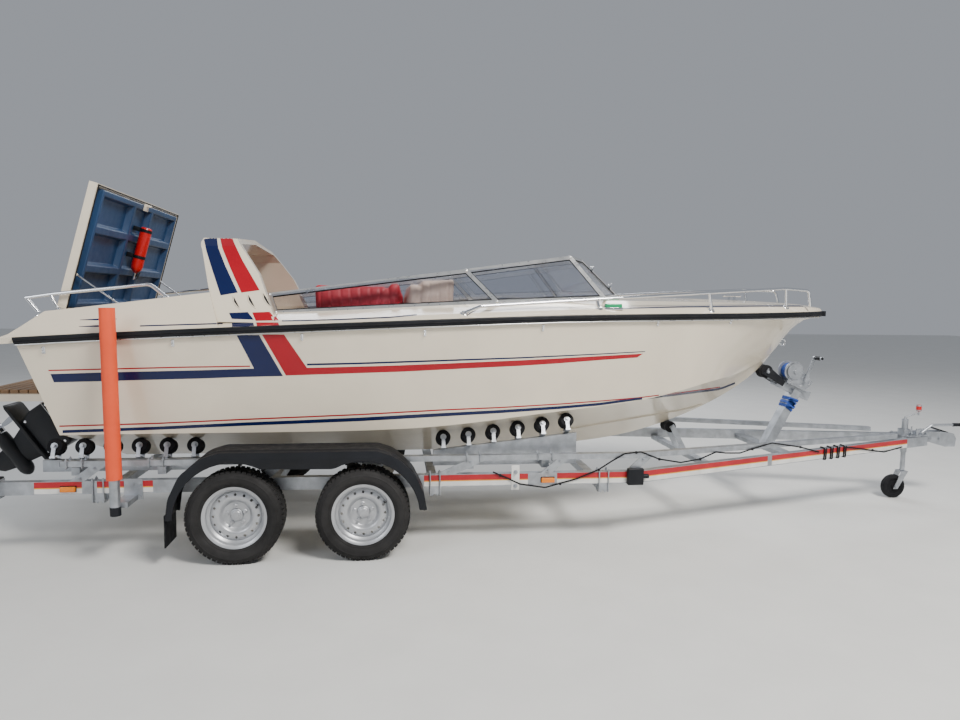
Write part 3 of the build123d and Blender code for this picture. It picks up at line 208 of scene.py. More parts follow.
# %% [markdown]
# Gelcoat is a thick glossy skin over glass fibre. It is not quite flat: the mould and
# the fibre print through as a very long wave, and weather leaves it a little chalky.

# %% Gelcoat, paint, metal, rubber and plastic
gelcoat = plain("gelcoat", (0.78, 0.690, 0.545), 0.16, mottle=0.03, grain=0)
gelcoat.set({"Coat Weight": 0.6, "Coat Roughness": 0.06})
gelcoat.bump(gelcoat.noise(2.2, 1.0), 0.004, 0.5)
navy = plain("navy_stripe", (0.004, 0.010, 0.060), 0.22, mottle=0.08, grain=0)
navy.set({"Coat Weight": 0.2})
red = plain("red_stripe", (0.36, 0.004, 0.014), 0.22, mottle=0.06, grain=0)
red.set({"Coat Weight": 0.2})
navy_shade = plain("dark_blue_moulding", (0.012, 0.045, 0.12), 0.45, mottle=0.15, grain=0.0006,
                   grain_scale=220)
galvanised = plain("galvanised_steel", (0.44, 0.46, 0.49), 0.42, 0.85, mottle=0.16, grain=0.0003,
                   grain_scale=260, wear_scale=14)
stainless = plain("polished_stainless", (0.80, 0.81, 0.83), 0.12, 1.0, mottle=0.03, grain=0)
anodised = plain("anodised_aluminium", (0.72, 0.72, 0.71), 0.3, 0.95, mottle=0.06, grain=0)
black_plastic = plain("black_plastic", (0.008, 0.009, 0.012), 0.5, mottle=0.25, grain=0.0005, grain_scale=300)
rubber = plain("black_rubber", (0.007, 0.007, 0.009), 0.7, mottle=0.3, grain=0.0004, grain_scale=350)
tyre_rubber = plain("tyre_rubber", (0.022, 0.021, 0.021), 0.78, mottle=0.25, grain=0.0006, grain_scale=180)
silver_paint = plain("silver_paint", (0.50, 0.51, 0.53), 0.35, 0.6, mottle=0.08, grain=0.0002,
                     grain_scale=600)
orange = plain("orange_sleeve", (0.82, 0.085, 0.022), 0.5, mottle=0.1, grain=0.0004, grain_scale=90)
drive_paint = plain("drive_paint", (0.016, 0.017, 0.02), 0.35, mottle=0.3, grain=0.0003)
red_paint = plain("red_paint", (0.55, 0.012, 0.012), 0.25, mottle=0.06, grain=0)
lining = plain("cockpit_lining", (0.46, 0.43, 0.37), 0.75, mottle=0.12, grain=0.001, grain_scale=120)
cream_vinyl = plain("cream_vinyl", (0.62, 0.47, 0.38), 0.5, mottle=0.08, grain=0.0008, grain_scale=260)
crimson_vinyl = plain("crimson_vinyl", (0.38, 0.018, 0.03), 0.5, mottle=0.12, grain=0.0008, grain_scale=260)
teak = plain("teak", (0.34, 0.20, 0.10), 0.55, mottle=0.2, grain=0.0006, grain_scale=120)
amber = plain("amber_lens", (0.80, 0.22, 0.01), 0.15, mottle=0.05, grain=0.0008, grain_scale=160)
green_lens = plain("green_lens", (0.01, 0.30, 0.12), 0.15, mottle=0.05, grain=0)
blue_webbing = plain("blue_webbing", (0.03, 0.08, 0.36), 0.8, mottle=0.2, grain=0.001, grain_scale=500)
for dark in (black_plastic, rubber, tyre_rubber, drive_paint, navy, red):
    # A weak reflection keeps the dark finishes from turning grey under the soft lamps
    dark.set({"Specular IOR Level": 0.28})

# %% [markdown]
# Acrylic windscreens are lightly smoked. The thin sheet lets most light through and is
# partly clear, so that the seats and the far side still show behind it.

# %% Smoked glass
glass = Finish("smoked_acrylic", (0.46, 0.50, 0.62), 0.04)
glass.set({"Transmission Weight": 1.0, "IOR": 1.12, "Alpha": 0.34})
glass.rough_from(glass.noise(6), 0.02, 0.09)

# %% [markdown]
# A CAD node that keeps its plain body wears the finish of its part. Whatever isn't
# named here is galvanised steel, apart from the rims and the tyres.

# %% Give each CAD node its finish
nodes_in = [
    (gelcoat, "hull deck arch engine_hatch swim_platform"),
    (black_plastic, "rub_rail dash steering_wheel mudguards"),
    (stainless, "bow_rails stern_rails hatch_stay_left hatch_stay_right deck_fittings"),
    (drive_paint, "engine transom_plate steering_yoke drive_leg propeller"),
    (lining, "cockpit_floor bay_fittings"), (cream_vinyl, "helm_seats"),
    (crimson_vinyl, "aft_seats bench_seat"), (anodised, "windscreen_frame"), (glass, "windscreen_glass"),
    (navy_shade, "hatch_liner"), (red_paint, "extinguisher"), (teak, "platform_slats"),
    (rubber, "hull_rollers jockey_wheel"), (blue_webbing, "winch_strap"), (orange, "guide_sleeves"),
    (amber, "trailer_lamps"), (green_lens, "nav_lights"),
]
finish_of = {name: finish for finish, names in nodes_in for name in names.split()}
for node_name, node_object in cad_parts.items():
    finish = finish_of.get(node_name, galvanised)
    if node_name.startswith("rim_"):
        finish = silver_paint
    if node_name.startswith("tyre_"):
        finish = tyre_rubber
    node_object.data.materials.clear()
    node_object.data.materials.append(finish.material)
floor_finish = plain("studio_floor", (0.72, 0.72, 0.70), 0.8, mottle=0.02, grain=0)
floor.data.materials.append(floor_finish.material)

# %% [markdown]
# Most pieces below start as one of a few simple forms: an outline pushed along an axis,
# a profile turned on a lathe, a rod, or a bent tube. Each helper gives back a mesh in
# its final place, and fit() turns a mesh into a finished piece that rides on a body.

# %% Helpers that make a mesh
merge_distance = 0.00002


def mesh_of(points, faces):
    mesh = bpy.data.meshes.new("part")
    mesh.from_pydata([tuple(p) for p in points], [], faces)
    return tidy(mesh)


def tidy(mesh):
    work = bmesh.new()
    work.from_mesh(mesh)
    bmesh.ops.remove_doubles(work, verts=work.verts, dist=merge_distance)
    bmesh.ops.recalc_face_normals(work, faces=work.faces)
    work.to_mesh(mesh)
    work.free()
    return mesh


def gathered(meshes):
    # Joins meshes into one and removes the single ones
    work = bmesh.new()
    for mesh in meshes:
        work.from_mesh(mesh)
    joined = bpy.data.meshes.new("part")
    work.to_mesh(joined)
    work.free()
    for mesh in meshes:
        bpy.data.meshes.remove(mesh)
    return joined


def pushed(outline, low, high, axis="y"):
    # An outline in the two other axes, pushed along the named axis from low to high
    order = {"x": (2, 0, 1), "y": (0, 2, 1), "z": (0, 1, 2)}[axis]
    count = len(outline)
    points = [[(a, b, end)[k] for k in order] for end in (low, high) for a, b in outline]
    faces = [tuple(range(count)), tuple(range(2 * count - 1, count - 1, -1))]
    faces += [(i, (i + 1) % count, (i + 1) % count + count, i + count) for i in range(count)]
    return mesh_of(points, faces)


def block(low, high):
    side = [(low[0], low[2]), (high[0], low[2]), (high[0], high[2]), (low[0], high[2])]
    return pushed(side, low[1], high[1])


def along(start, direction):
    # A matrix that stands +Z along a direction, with its foot at start
    turn = Vector(direction).to_track_quat("Z", "Y").to_matrix().to_4x4()
    return Matrix.Translation(Vector(start)) @ turn


def lathe(profile, matrix, steps=48, closed=True):
    # Pairs of radius and height, turned about +Z of the matrix
    points, faces = [], []
    count = len(profile)
    for i in range(steps):
        angle = 2 * math.pi * i / steps
        for radius, height in profile:
            points.append(matrix @ Vector((radius * math.cos(angle), radius * math.sin(angle), height)))
    spans = count if closed else count - 1
    for i in range(steps):
        for j in range(spans):
            a, b = i * count + j, i * count + (j + 1) % count
            c, d = (i + 1) % steps * count + (j + 1) % count, (i + 1) % steps * count + j
            faces.append((a, b, c, d))
    return mesh_of(points, faces)


def rod(start, end, radius, steps=20, edge=0.0):
    run = Vector(end) - Vector(start)
    edge = min(edge, radius * 0.4, run.length * 0.4)
    profile = [(0, 0), (radius - edge, 0), (radius, edge), (radius, run.length - edge),
               (radius - edge, run.length), (0, run.length)]
    return lathe(profile, along(start, run), steps, closed=False)


def bent(points, bend, steps=6):
    # A polyline whose corners are arcs of the given radius
    points = [Vector(p) for p in points]
    made = [points[0]]
    for before, corner, after in zip(points, points[1:], points[2:]):
        into, out = (corner - before).normalized(), (after - corner).normalized()
        turn = into.angle(out)
        if turn < 0.02:
            made.append(corner)
            continue
        back = min(bend * math.tan(turn / 2), (corner - before).length * 0.48, (after - corner).length * 0.48)
        start, end = corner - into * back, corner + out * back
        for i in range(steps + 1):
            t = i / steps
            made.append(start * (1 - t) ** 2 + corner * 2 * t * (1 - t) + end * t * t)
    made.append(points[-1])
    return made


def skinned(rings):
    # A skin over rings that have the same number of points, closed at both ends
    count = len(rings[0])
    faces = []
    for i in range(len(rings) - 1):
        for k in range(count):
            a, b = i * count + k, i * count + (k + 1) % count
            faces.append((a, b, b + count, a + count))
    faces.append(tuple(range(count - 1, -1, -1)))
    faces.append(tuple(range((len(rings) - 1) * count, len(rings) * count)))
    return mesh_of([p for ring in rings for p in ring], faces)


def swept(points, radius, sides=14, flat=None):
    # A tube, or a flat bar where flat gives its half width and half height
    points = [Vector(p) for p in points]
    rings = []
    normal = None
    for i, p in enumerate(points):
        ahead = points[min(i + 1, len(points) - 1)] - points[max(i - 1, 0)]
        ahead.normalize()
        if normal is None:
            normal = ahead.orthogonal().normalized() if flat is None else Vector((0, 0, 1))
        normal = (normal - ahead * normal.dot(ahead)).normalized()
        side = ahead.cross(normal)
        ring = []
        if flat is None:
            for k in range(sides):
                angle = 2 * math.pi * k / sides
                ring.append(p + (normal * math.cos(angle) + side * math.sin(angle)) * radius)
        else:
            for a, b in ((-1, -1), (1, -1), (1, 1), (-1, 1)):
                ring.append(p + side * a * flat[0] + normal * b * flat[1])
        rings.append(ring)
    return skinned(rings)


def mirrored(mesh):
    copy = mesh.copy()
    copy.transform(Matrix.Scale(-1, 4, (0, 1, 0)))
    return tidy(copy)


def both_sides(meshes):
    half = gathered(meshes)
    return gathered([mirrored(half), half])


def moved(mesh, matrix):
    copy = mesh.copy()
    copy.transform(matrix)
    return copy


def settled(carrier):
    # The mesh that an object's modifiers give
    bpy.context.view_layer.update()
    graph = bpy.context.evaluated_depsgraph_get()
    return bpy.data.meshes.new_from_object(carrier.evaluated_get(graph))


# %% Finish a mesh as a piece of the boat or the trailer
def worked(mesh, bevel=0.0, segments=2, angle=35, thickness=0.0, smooth=0):
    # Runs wall, bevel and subdivision on a mesh, and gives back the plain result
    carrier = linked("carrier", mesh)
    if thickness:
        wall = carrier.modifiers.new("wall", "SOLIDIFY")
        wall.thickness = thickness
        wall.offset = 1
    if bevel:
        edge = carrier.modifiers.new("edge", "BEVEL")
        edge.width = bevel
        edge.segments = segments
        edge.limit_method = "ANGLE"
        edge.angle_limit = math.radians(angle)
    if smooth:
        soft = carrier.modifiers.new("soft", "SUBSURF")
        soft.levels = smooth
        soft.render_levels = smooth
    made = settled(carrier)
    bpy.data.objects.remove(carrier)
    return made


def rounded(low, high, bevel, segments=2):
    return worked(block(low, high), bevel=bevel, segments=segments)


def fit(name, mesh, finish, body=BASE, sharp=38, stands_for=()):
    mesh.name = name
    mesh.materials.clear()
    mesh.materials.append(finish.material)
    mesh.polygons.foreach_set("use_smooth", [True] * len(mesh.polygons))
    mesh.set_sharp_from_angle(angle=math.radians(sharp))
    made = linked(name, mesh)
    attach(made, body)
    if stands_for:
        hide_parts(*stands_for)
    return made


# %% [markdown]
# Things that repeat, such as tread blocks, nuts and bolts, are made with Geometry Nodes.
# Two small trees do it: one sets a piece round a ring, the other sets it on the points
# of a mesh and turns it to each point's own direction.

# %% Node trees that repeat a piece
def repeat_tree(name, values, axis):
    # Sets a piece on points, turns its axis to a vector, makes it real and coats it
    tree = bpy.data.node_groups.new(name, "GeometryNodeTree")
    for label, kind in (("Geometry", "Geometry"), ("Piece", "Object"), *values, ("Finish", "Material")):
        tree.interface.new_socket(label, in_out="INPUT", socket_type="NodeSocket" + kind)
    tree.interface.new_socket("Geometry", in_out="OUTPUT", socket_type="NodeSocketGeometry")
    given = tree.nodes.new("NodeGroupInput")
    result = tree.nodes.new("NodeGroupOutput")
    source = tree.nodes.new("GeometryNodeObjectInfo")
    put = tree.nodes.new("GeometryNodeInstanceOnPoints")
    turn = tree.nodes.new("FunctionNodeAlignEulerToVector")
    real = tree.nodes.new("GeometryNodeRealizeInstances")
    coat = tree.nodes.new("GeometryNodeSetMaterial")
    turn.axis = axis
    join = tree.links.new
    join(given.outputs["Piece"], source.inputs["Object"])
    join(source.outputs["Geometry"], put.inputs["Instance"])
    join(turn.outputs["Rotation"], put.inputs["Rotation"])
    join(put.outputs["Instances"], real.inputs["Geometry"])
    join(real.outputs["Geometry"], coat.inputs["Geometry"])
    join(given.outputs["Finish"], coat.inputs["Material"])
    join(coat.outputs["Geometry"], result.inputs["Geometry"])
    return tree, given, put, turn


def ring_tree():
    tree, given, put, turn = repeat_tree("pieces_round_a_ring", [("Count", "Int"), ("Radius", "Float")], "X")
    turn.pivot_axis = "Z"
    ring = tree.nodes.new("GeometryNodeMeshCircle")
    outward = tree.nodes.new("GeometryNodeInputPosition")
    join = tree.links.new
    join(given.outputs["Count"], ring.inputs["Vertices"])
    join(given.outputs["Radius"], ring.inputs["Radius"])
    join(ring.outputs["Mesh"], put.inputs["Points"])
    join(outward.outputs["Position"], turn.inputs["Vector"])
    return tree


def points_tree():
    tree, given, put, turn = repeat_tree("pieces_on_points", [], "Z")
    facing = tree.nodes.new("GeometryNodeInputNamedAttribute")
    facing.data_type = "FLOAT_VECTOR"
    facing.inputs["Name"].default_value = "facing"
    tree.links.new(given.outputs["Geometry"], put.inputs["Points"])
    tree.links.new(facing.outputs["Attribute"], turn.inputs["Vector"])
    return tree


RING = ring_tree()
POINTS = points_tree()


def grown(tree, carrier_mesh, piece_mesh, **values):
    piece_object = linked("repeated", piece_mesh)
    carrier = linked("carrier", carrier_mesh)
    grow = carrier.modifiers.new("grow", "NODES")
    grow.node_group = tree
    values["Piece"] = piece_object
    for item in tree.interface.items_tree:
        if item.in_out == "INPUT" and item.name in values:
            grow[item.identifier] = values[item.name]
    made = settled(carrier)
    for helper in (carrier, piece_object):
        bpy.data.objects.remove(helper)
    return made


def ring_of(piece_mesh, count, radius, finish, matrix):
    # The piece stands at radius along +X, and the ring turns about +Z of the matrix
    empty = bpy.data.meshes.new("ring")
    made = grown(RING, empty, piece_mesh, Count=count, Radius=radius, Finish=finish.material)
    made.transform(matrix)
    return made


def on_points(piece_mesh, spots, finish):
    # spots: pairs of a point and the direction that the piece's +Z looks
    carrier = bpy.data.meshes.new("points")
    carrier.from_pydata([tuple(p) for p, _ in spots], [], [])
    facing = carrier.attributes.new("facing", "FLOAT_VECTOR", "POINT")
    facing.data.foreach_set("vector", [c for _, n in spots for c in n])
    return grown(POINTS, carrier, piece_mesh, Finish=finish.material)


def hex_bolt(across=0.017, head=0.008, washer=0.026, thread=0.0):
    # A hexagon head on its washer, looking along +Z from the surface it is screwed to
    corner = across / 2 / math.cos(math.pi / 6)
    hexagon = [(corner * math.cos(math.pi / 3 * i), corner * math.sin(math.pi / 3 * i)) for i in range(6)]
    parts = [pushed(hexagon, 0.0015, 0.0015 + head, "z"), rod((0, 0, -0.001), (0, 0, 0.0016), washer / 2, 16)]
    if thread:
        parts.append(rod((0, 0, head), (0, 0, head + thread), across * 0.3, 12))
    return gathered(parts)


# %% [markdown]
# A trailer tyre is a turned form with a flat sidewall and a tread of blocks between
# grooves. The carcass is turned from one profile, and Geometry Nodes set each row of
# blocks round it, so a row's count and size can be changed in one place.

# %% Tyres
tread_depth = 0.0075
crown = tyre_radius - tread_depth
shoulder_ribs = 150
shoulder_radius = 0.2635
carcass_side = [
    (0.197, 0.066), (0.201, 0.072), (0.207, 0.0765), (0.2085, 0.0795), (0.2115, 0.0795), (0.213, 0.0825),
    (0.224, 0.088), (0.238, 0.0918), (0.250, 0.0922), (0.2515, 0.0935), (0.2545, 0.0935), (0.256, 0.0915),
    (0.266, 0.0880), (0.2745, 0.0815), (0.2810, 0.0745), (crown, 0.064), (crown, 0.020),
    (tyre_radius, 0.0185), (tyre_radius, 0.0115),
]
carcass = [(r, -y) for r, y in carcass_side] + [(r, y) for r, y in reversed(carcass_side)]
carcass += [(0.190, 0.060), (0.178, 0.052), (0.178, -0.052), (0.190, -0.060)]


def tread_block(length, middle, width, lean):
    # One block: x is outwards, y runs round the tyre, z is across it
    low, high = -0.004, tread_depth
    outline = [(-length / 2, middle - width / 2), (length / 2, middle - width / 2),
               (length / 2, middle + width / 2), (-length / 2, middle + width / 2)]
    slanted = [(a + lean * (b - middle), b) for a, b in outline]
    return pushed(slanted, low, high, "x")


# Each row: blocks round the tyre, length, place across, width, and lean
tread_rows = [(64, 0.022, 0.0310, 0.0180, 0.25), (64, 0.022, -0.0310, 0.0180, -0.25),
              (56, 0.0235, 0.0575, 0.0270, 0.1), (56, 0.0235, -0.0575, 0.0270, -0.1)]


def tyre(centre, outer):
    stand = along(centre, (0, outer, 0))
    parts = [lathe(carcass, stand, 96)]
    for count, length, middle, width, lean in tread_rows:
        block_mesh = tread_block(length, middle, width, lean)
        parts.append(ring_of(block_mesh, count, crown, tyre_rubber, stand))
    rib_outline = [(-0.0006, 0.086), (0.0006, 0.086), (0.0006, 0.0895), (-0.0006, 0.0895)]
    rib = pushed(rib_outline, -0.0055, 0.0055, "x")
    parts.append(ring_of(rib, shoulder_ribs, shoulder_radius, tyre_rubber, stand))
    return gathered(parts)


# %% [markdown]
# The wheels are pressed steel: a rolled rim with two flanges, and a dished disc with
# sixteen round holes. The disc is turned and then the holes are cut with a boolean,
# because a hole that is really open shows the dark drum behind it.

# %% Steel wheels
rim_edge = 0.195
rim_profile = [
    (rim_edge, 0.068), (rim_edge + 0.001, 0.066), (rim_edge, 0.063), (0.187, 0.061), (0.180, 0.057),
    (0.178, 0.052), (0.177, 0.030), (0.170, 0.023), (0.161, 0.019), (0.161, -0.032), (0.177, -0.042),
    (0.179, -0.066), (rim_edge, -0.070), (rim_edge, -0.076), (0.174, -0.072), (0.172, -0.044),
    (0.156, -0.034), (0.156, 0.004), (0.150, 0.010), (0.136, 0.015), (0.122, 0.017), (0.112, 0.014),
    (0.100, 0.006), (0.092, -0.006), (0.084, -0.011), (0.040, -0.012), (0.040, -0.006), (0.046, -0.005),
    (0.082, -0.004), (0.089, 0.002), (0.096, 0.014), (0.104, 0.022), (0.114, 0.0255), (0.124, 0.0255),
    (0.138, 0.023), (0.151, 0.018), (0.156, 0.012), (0.158, 0.018), (0.168, 0.026), (0.1725, 0.032),
    (0.1735, 0.052), (0.176, 0.058), (0.186, 0.065),
]
hub_profile = [
    (0.018, -0.090), (0.112, -0.090), (0.112, -0.016), (0.070, -0.012), (0.040, -0.008), (0.038, 0.004),
    (0.034, 0.007), (0.030, 0.0075), (0.028, 0.013), (0.026, 0.0145), (0.018, 0.0150), (0.0172, 0.0145),
]
cap_profile = [(0, 0.0135), (0.0172, 0.0135), (0.0172, 0.0165), (0.016, 0.0185), (0.008, 0.0200), (0, 0.0202)]
hole_count = 16
hole_circle = 0.136
hole_radius = 0.0085
nut_count = 5
stud_circle = 0.056
wheel_middle_y = 0.998
wheel_turn = 0.4


def cut(mesh, cutter_mesh):
    body = linked("cut", mesh)
    cutter = linked("cutter", cutter_mesh)
    hole = body.modifiers.new("holes", "BOOLEAN")
    hole.object = cutter
    hole.solver = "EXACT"
    made = settled(body)
    for helper in (body, cutter):
        bpy.data.objects.remove(helper)
    return made


upright = Matrix.Identity(4)
hole_rods = []
for i in range(hole_count):
    angle = 2 * math.pi * i / hole_count
    x, y = hole_circle * math.cos(angle), hole_circle * math.sin(angle)
    hole_rods.append(rod((x, y, 0), (x, y, 0.05), hole_radius, 20))
disc = cut(lathe(rim_profile, upright, 96), gathered(hole_rods))
nut_profile = [(0.0145, -0.006), (0.0135, 0.002), (0.0105, 0.004), (0.0105, 0.015), (0.0085, 0.018),
               (0, 0.018)]
nut_body = lathe(nut_profile, upright, 6, closed=False)
wheel_nut = gathered([nut_body, rod((0, 0, 0.016), (0, 0, 0.021), 0.0062, 14)])
hub = lathe(hub_profile, upright, 64)
cap = lathe(cap_profile, upright, 40, closed=False)
valve = swept(bent([(0.146, 0.012, 0.018), (0.148, 0.012, 0.040), (0.162, 0.014, 0.052)], 0.01), 0.0038, 10)

for axle in ("rear", "front"):
    for side_name, outer in (("left", 1), ("right", -1)):
        corner = f"{axle}_{side_name}"
        low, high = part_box("tyre_" + corner)
        centre = (low + high) / 2
        centre.y = outer * wheel_middle_y
        wheel_body = "wheel_" + corner
        fit("tyre_dressed_" + corner, tyre(centre, outer), tyre_rubber, wheel_body,
            stands_for=["tyre_" + corner])
        stand = along(centre, (0, outer, 0)) @ Matrix.Rotation(wheel_turn, 4, "Z")
        nuts = ring_of(wheel_nut.copy(), nut_count, stud_circle, silver_paint, stand)
        for name, mesh, stands_for in (("rim_dressed_", moved(disc, stand), ["rim_" + corner]),
                                       ("hub_dressed_", moved(hub, stand), ()), ("wheel_nuts_", nuts, ()),
                                       ("hub_cap_", moved(cap, stand), ())):
            fit(name + corner, mesh, silver_paint, wheel_body, 30, stands_for)
        fit("valve_" + corner, moved(valve, stand), rubber, wheel_body)

# %% [markdown]
# The tandem mudguard is one plastic moulding over both wheels. Its top is bent from a
# strip that follows the outline seen from the side, and its outer face drops to a
# round edge over each wheel, with a web between the wheels.

# %% Mudguards
guard_outline = [(-0.782, 0.300), (-0.765, 0.430), (-0.700, 0.570), (-0.571, 0.682), (-0.470, 0.716),
                 (0.480, 0.716), (0.581, 0.682), (0.700, 0.570), (0.768, 0.430), (0.787, 0.330)]
wheel_x, wheel_z = 0.3895, 0.294
arch_radius = 0.352
arch_steps = 26
web_half, web_low = 0.215, 0.600
guard_foot_z = 0.335
guard_in, guard_step, guard_out = 0.880, 1.062, 1.110
guard_wall = 0.005


def guard_path():
    return bent([(x, 0, z) for x, z in guard_outline], 0.16, 5)


def guard_top(side):
    rows = []
    path = guard_path()
    across = [(guard_in, -0.022), (guard_in, 0.0), (guard_step - 0.006, 0.0), (guard_step, -0.001),
              (guard_step + 0.004, -0.006), (guard_out - 0.012, -0.007), (guard_out - 0.003, -0.011),
              (guard_out, -0.020)]
    for i, p in enumerate(path):
        ahead = (path[min(i + 1, len(path) - 1)] - path[max(i - 1, 0)]).normalized()
        up = Vector((-ahead.z, 0, ahead.x))
        rows.append([place(p.x, side * y, p.z) + up * rise for y, rise in across])
    count = len(across)
    faces = [(i * count + k, i * count + k + 1, (i + 1) * count + k + 1, (i + 1) * count + k)
             for i in range(len(rows) - 1) for k in range(count - 1)]
    return worked(mesh_of([p for row in rows for p in row], faces), thickness=-guard_wall)


def guard_face(side):
    # The outer edge follows the top, and the inner edge goes round each wheel
    outer = [(p.x, p.z - 0.008 if abs(p.x) < 0.6 else p.z) for p in guard_path()]
    inner = []
    for middle in (wheel_x, -wheel_x):
        for i in range(arch_steps + 1):
            angle = math.pi * i / arch_steps
            x, z = middle + arch_radius * math.cos(angle), wheel_z + arch_radius * math.sin(angle)
            if abs(x) > web_half:
                inner.append((x, z))
            elif not inner or abs(inner[-1][0]) > 0.2:
                inner.append((0.2 if x > 0 else -0.2, web_low))
    inner = [(0.742, 0.330)] + [p for p in inner if p[1] >= guard_foot_z] + [(-0.742, 0.300)]
    outline = outer + inner
    low, high = sorted((side * guard_out, side * (guard_out - guard_wall)))
    return pushed([(x + axle_middle, z) for x, z in outline], low, high)


for side, name in ((-1, "right"), (1, "left")):
    fit(f"mudguard_top_{name}", guard_top(side), black_plastic, BASE, 50,
        stands_for=["mudguards"] if side < 0 else ())
    fit(f"mudguard_face_{name}", worked(guard_face(side), bevel=0.0015), black_plastic, BASE)
flap_low, flap_high = place(-0.790, 0.890, 0.130), place(-0.781, 1.102, 0.330)
flap = rounded(flap_low, flap_high, 0.002)
fit("mud_flaps", both_sides([flap]), rubber, BASE)

# %% [markdown]
# The coloured bands on the topsides are thin films. Their corners are read off the
# photograph in pixels, and each pixel is thrown along the camera's own ray until it
# meets the frame, so that a band lies on the hull's real curve and keeps its outline.

# %% Bands laid on the hull by the camera's rays
def surface_of(names):
    work = bmesh.new()
    for name in names:
        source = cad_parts[name]
        part = source.data.copy()
        part.transform(source.matrix_world)
        work.from_mesh(part)
        bpy.data.meshes.remove(part)
    tree = BVHTree.FromBMesh(work)
    work.free()
    return tree


hull_skin = surface_of(["hull"])
deck_skin = surface_of(["deck", "hull", "arch"])


def sight(px, py):
    # The direction in which a pixel of the photograph looks
    across = (px - image_width / 2) / focal_pixels
    down = (py - image_height / 2) / focal_pixels
    return (forward + camera_right * across - camera_up * down).normalized()


def hit(tree, px, py):
    # Where a pixel's line of sight meets a skin, and the skin's normal towards the camera
    spot, normal, _, _ = tree.ray_cast(camera_place, sight(px, py))
    if spot is None:
        return None, None
    if normal.dot(sight(px, py)) > 0:
        normal = -normal
    return spot, normal


def spaced(points, count):
    # Points of a polyline at equal shares of its length
    points = [Vector(p) for p in points]
    lengths = [0.0]
    for a, b in zip(points, points[1:]):
        lengths.append(lengths[-1] + (b - a).length)
    made = []
    for i in range(count):
        want = lengths[-1] * i / (count - 1)
        k = max(j for j in range(len(points) - 1) if lengths[j] <= want + 1e-9)
        share = (want - lengths[k]) / max(lengths[k + 1] - lengths[k], 1e-9)
        made.append(points[k].lerp(points[k + 1], min(share, 1.0)))
    return made


def film(tree, top, bottom, columns=40, rows=4, lift=0.0009):
    # A thin sheet between two lines of pixels, laid a little above the skin
    upper, lower = spaced(top, columns), spaced(bottom, columns)
    grid = []
    for a, b in zip(upper, lower):
        for k in range(rows + 1):
            p = a.lerp(b, k / rows)
            spot, normal = hit(tree, p.x, p.y)
            grid.append(None if spot is None else spot + normal * lift)
    points = [p if p is not None else Vector((0, 0, 0)) for p in grid]
    faces = []
    for i in range(columns - 1):
        for k in range(rows):
            here, beside = i * (rows + 1) + k, (i + 1) * (rows + 1) + k
            corners = [here, beside, beside + 1, here + 1]
            if all(grid[c] is not None for c in corners):
                faces.append(corners)
    return mesh_of(points, faces)


def stripe(tree, middle, widths, columns=60):
    # A line of changing width: widths are pixels at the start, the middle and the end
    centre = spaced(middle, columns)
    start, half_way, end = widths
    top, bottom = [], []
    for i, p in enumerate(centre):
        t = i / (columns - 1)
        width = start + (half_way - start) * min(1, 2 * t) + (end - half_way) * max(0, 2 * t - 1)
        top.append((p.x, p.y - width / 2))
        bottom.append((p.x, p.y + width / 2))
    return film(tree, top, bottom, columns, 1)


red_forward_top = [(307, 367.8), (360, 366.5), (400, 365.3), (440, 363.7), (480, 362), (520, 360.3),
                   (560, 358.3), (600, 356), (643, 353.6)]
red_forward_low = [(286, 375.5), (360, 373), (400, 371.7), (440, 369.7), (480, 367.7), (520, 365.8),
                   (560, 363.2), (600, 360), (637, 357.5)]
navy_aft_top = [(50.5, 374), (100, 372.5), (140, 371.5), (200, 370.2), (254, 368.5)]
navy_aft_low = [(54, 382.3), (100, 381.2), (140, 380), (200, 378.5), (240, 377), (283, 376)]
low_red = [(47, 426.5), (100, 425), (160, 423.2), (240, 419.5), (300, 417), (360, 414.5), (440, 410),
           (500, 407.5), (560, 404), (600, 401), (640, 397.5), (680, 392.5), (720, 387)]
low_navy = [(50, 432), (100, 430.3), (160, 428), (240, 424.2), (300, 421.8), (360, 419.3), (440, 414.8),
            (500, 411.5), (560, 407.5), (600, 404), (640, 398.5), (680, 394), (720, 389), (735, 383)]
navy_line = [(307, 364.5), (360, 363.3), (440, 360.6), (520, 357.8), (600, 354), (645, 351.5)]
red_line = [(48.5, 370.4), (120, 368.7), (180, 367.2), (250, 366.2)]
navy_films = [film(hull_skin, navy_aft_top, navy_aft_low, 80),
              film(hull_skin, [(254, 368.5), (236.5, 335)], [(283, 376), (259, 335)], 24, 6),
              stripe(hull_skin, navy_line, (1.9, 1.6, 0.8)),
              stripe(hull_skin, low_navy, (3.0, 3.7, 2.0), 110)]
red_films = [stripe(hull_skin, red_line, (1.3, 1.3, 1.2)),
             film(hull_skin, [(262, 334.5), (286, 375.5)], [(284, 334.5), (307, 367.8)], 24, 6),
             film(hull_skin, red_forward_top, red_forward_low, 100),
             stripe(hull_skin, low_red, (1.4, 1.4, 1.0), 110)]
fit("navy_bands", both_sides(navy_films), navy, BASE, 60)
fit("red_bands", both_sides(red_films), red, BASE, 60)

# %% [markdown]
# A thin spray strake runs along the bottom of the bow, and a row of chrome hooks under
# the rubbing strake holds the cover. Each hook is two small loops on a plate.

# %% Spray strake and cover hooks
strake_pixels = spaced([(560, 430), (620, 420), (680, 410), (720, 400), (738, 396)], 30)
strake_path = [hit(hull_skin, p.x, p.y)[0] for p in strake_pixels]
strake_path = [p for p in strake_path if p is not None]
fit("spray_strakes", both_sides([swept(strake_path, 0.0, flat=(0.010, 0.006))]), gelcoat, BASE, 50)


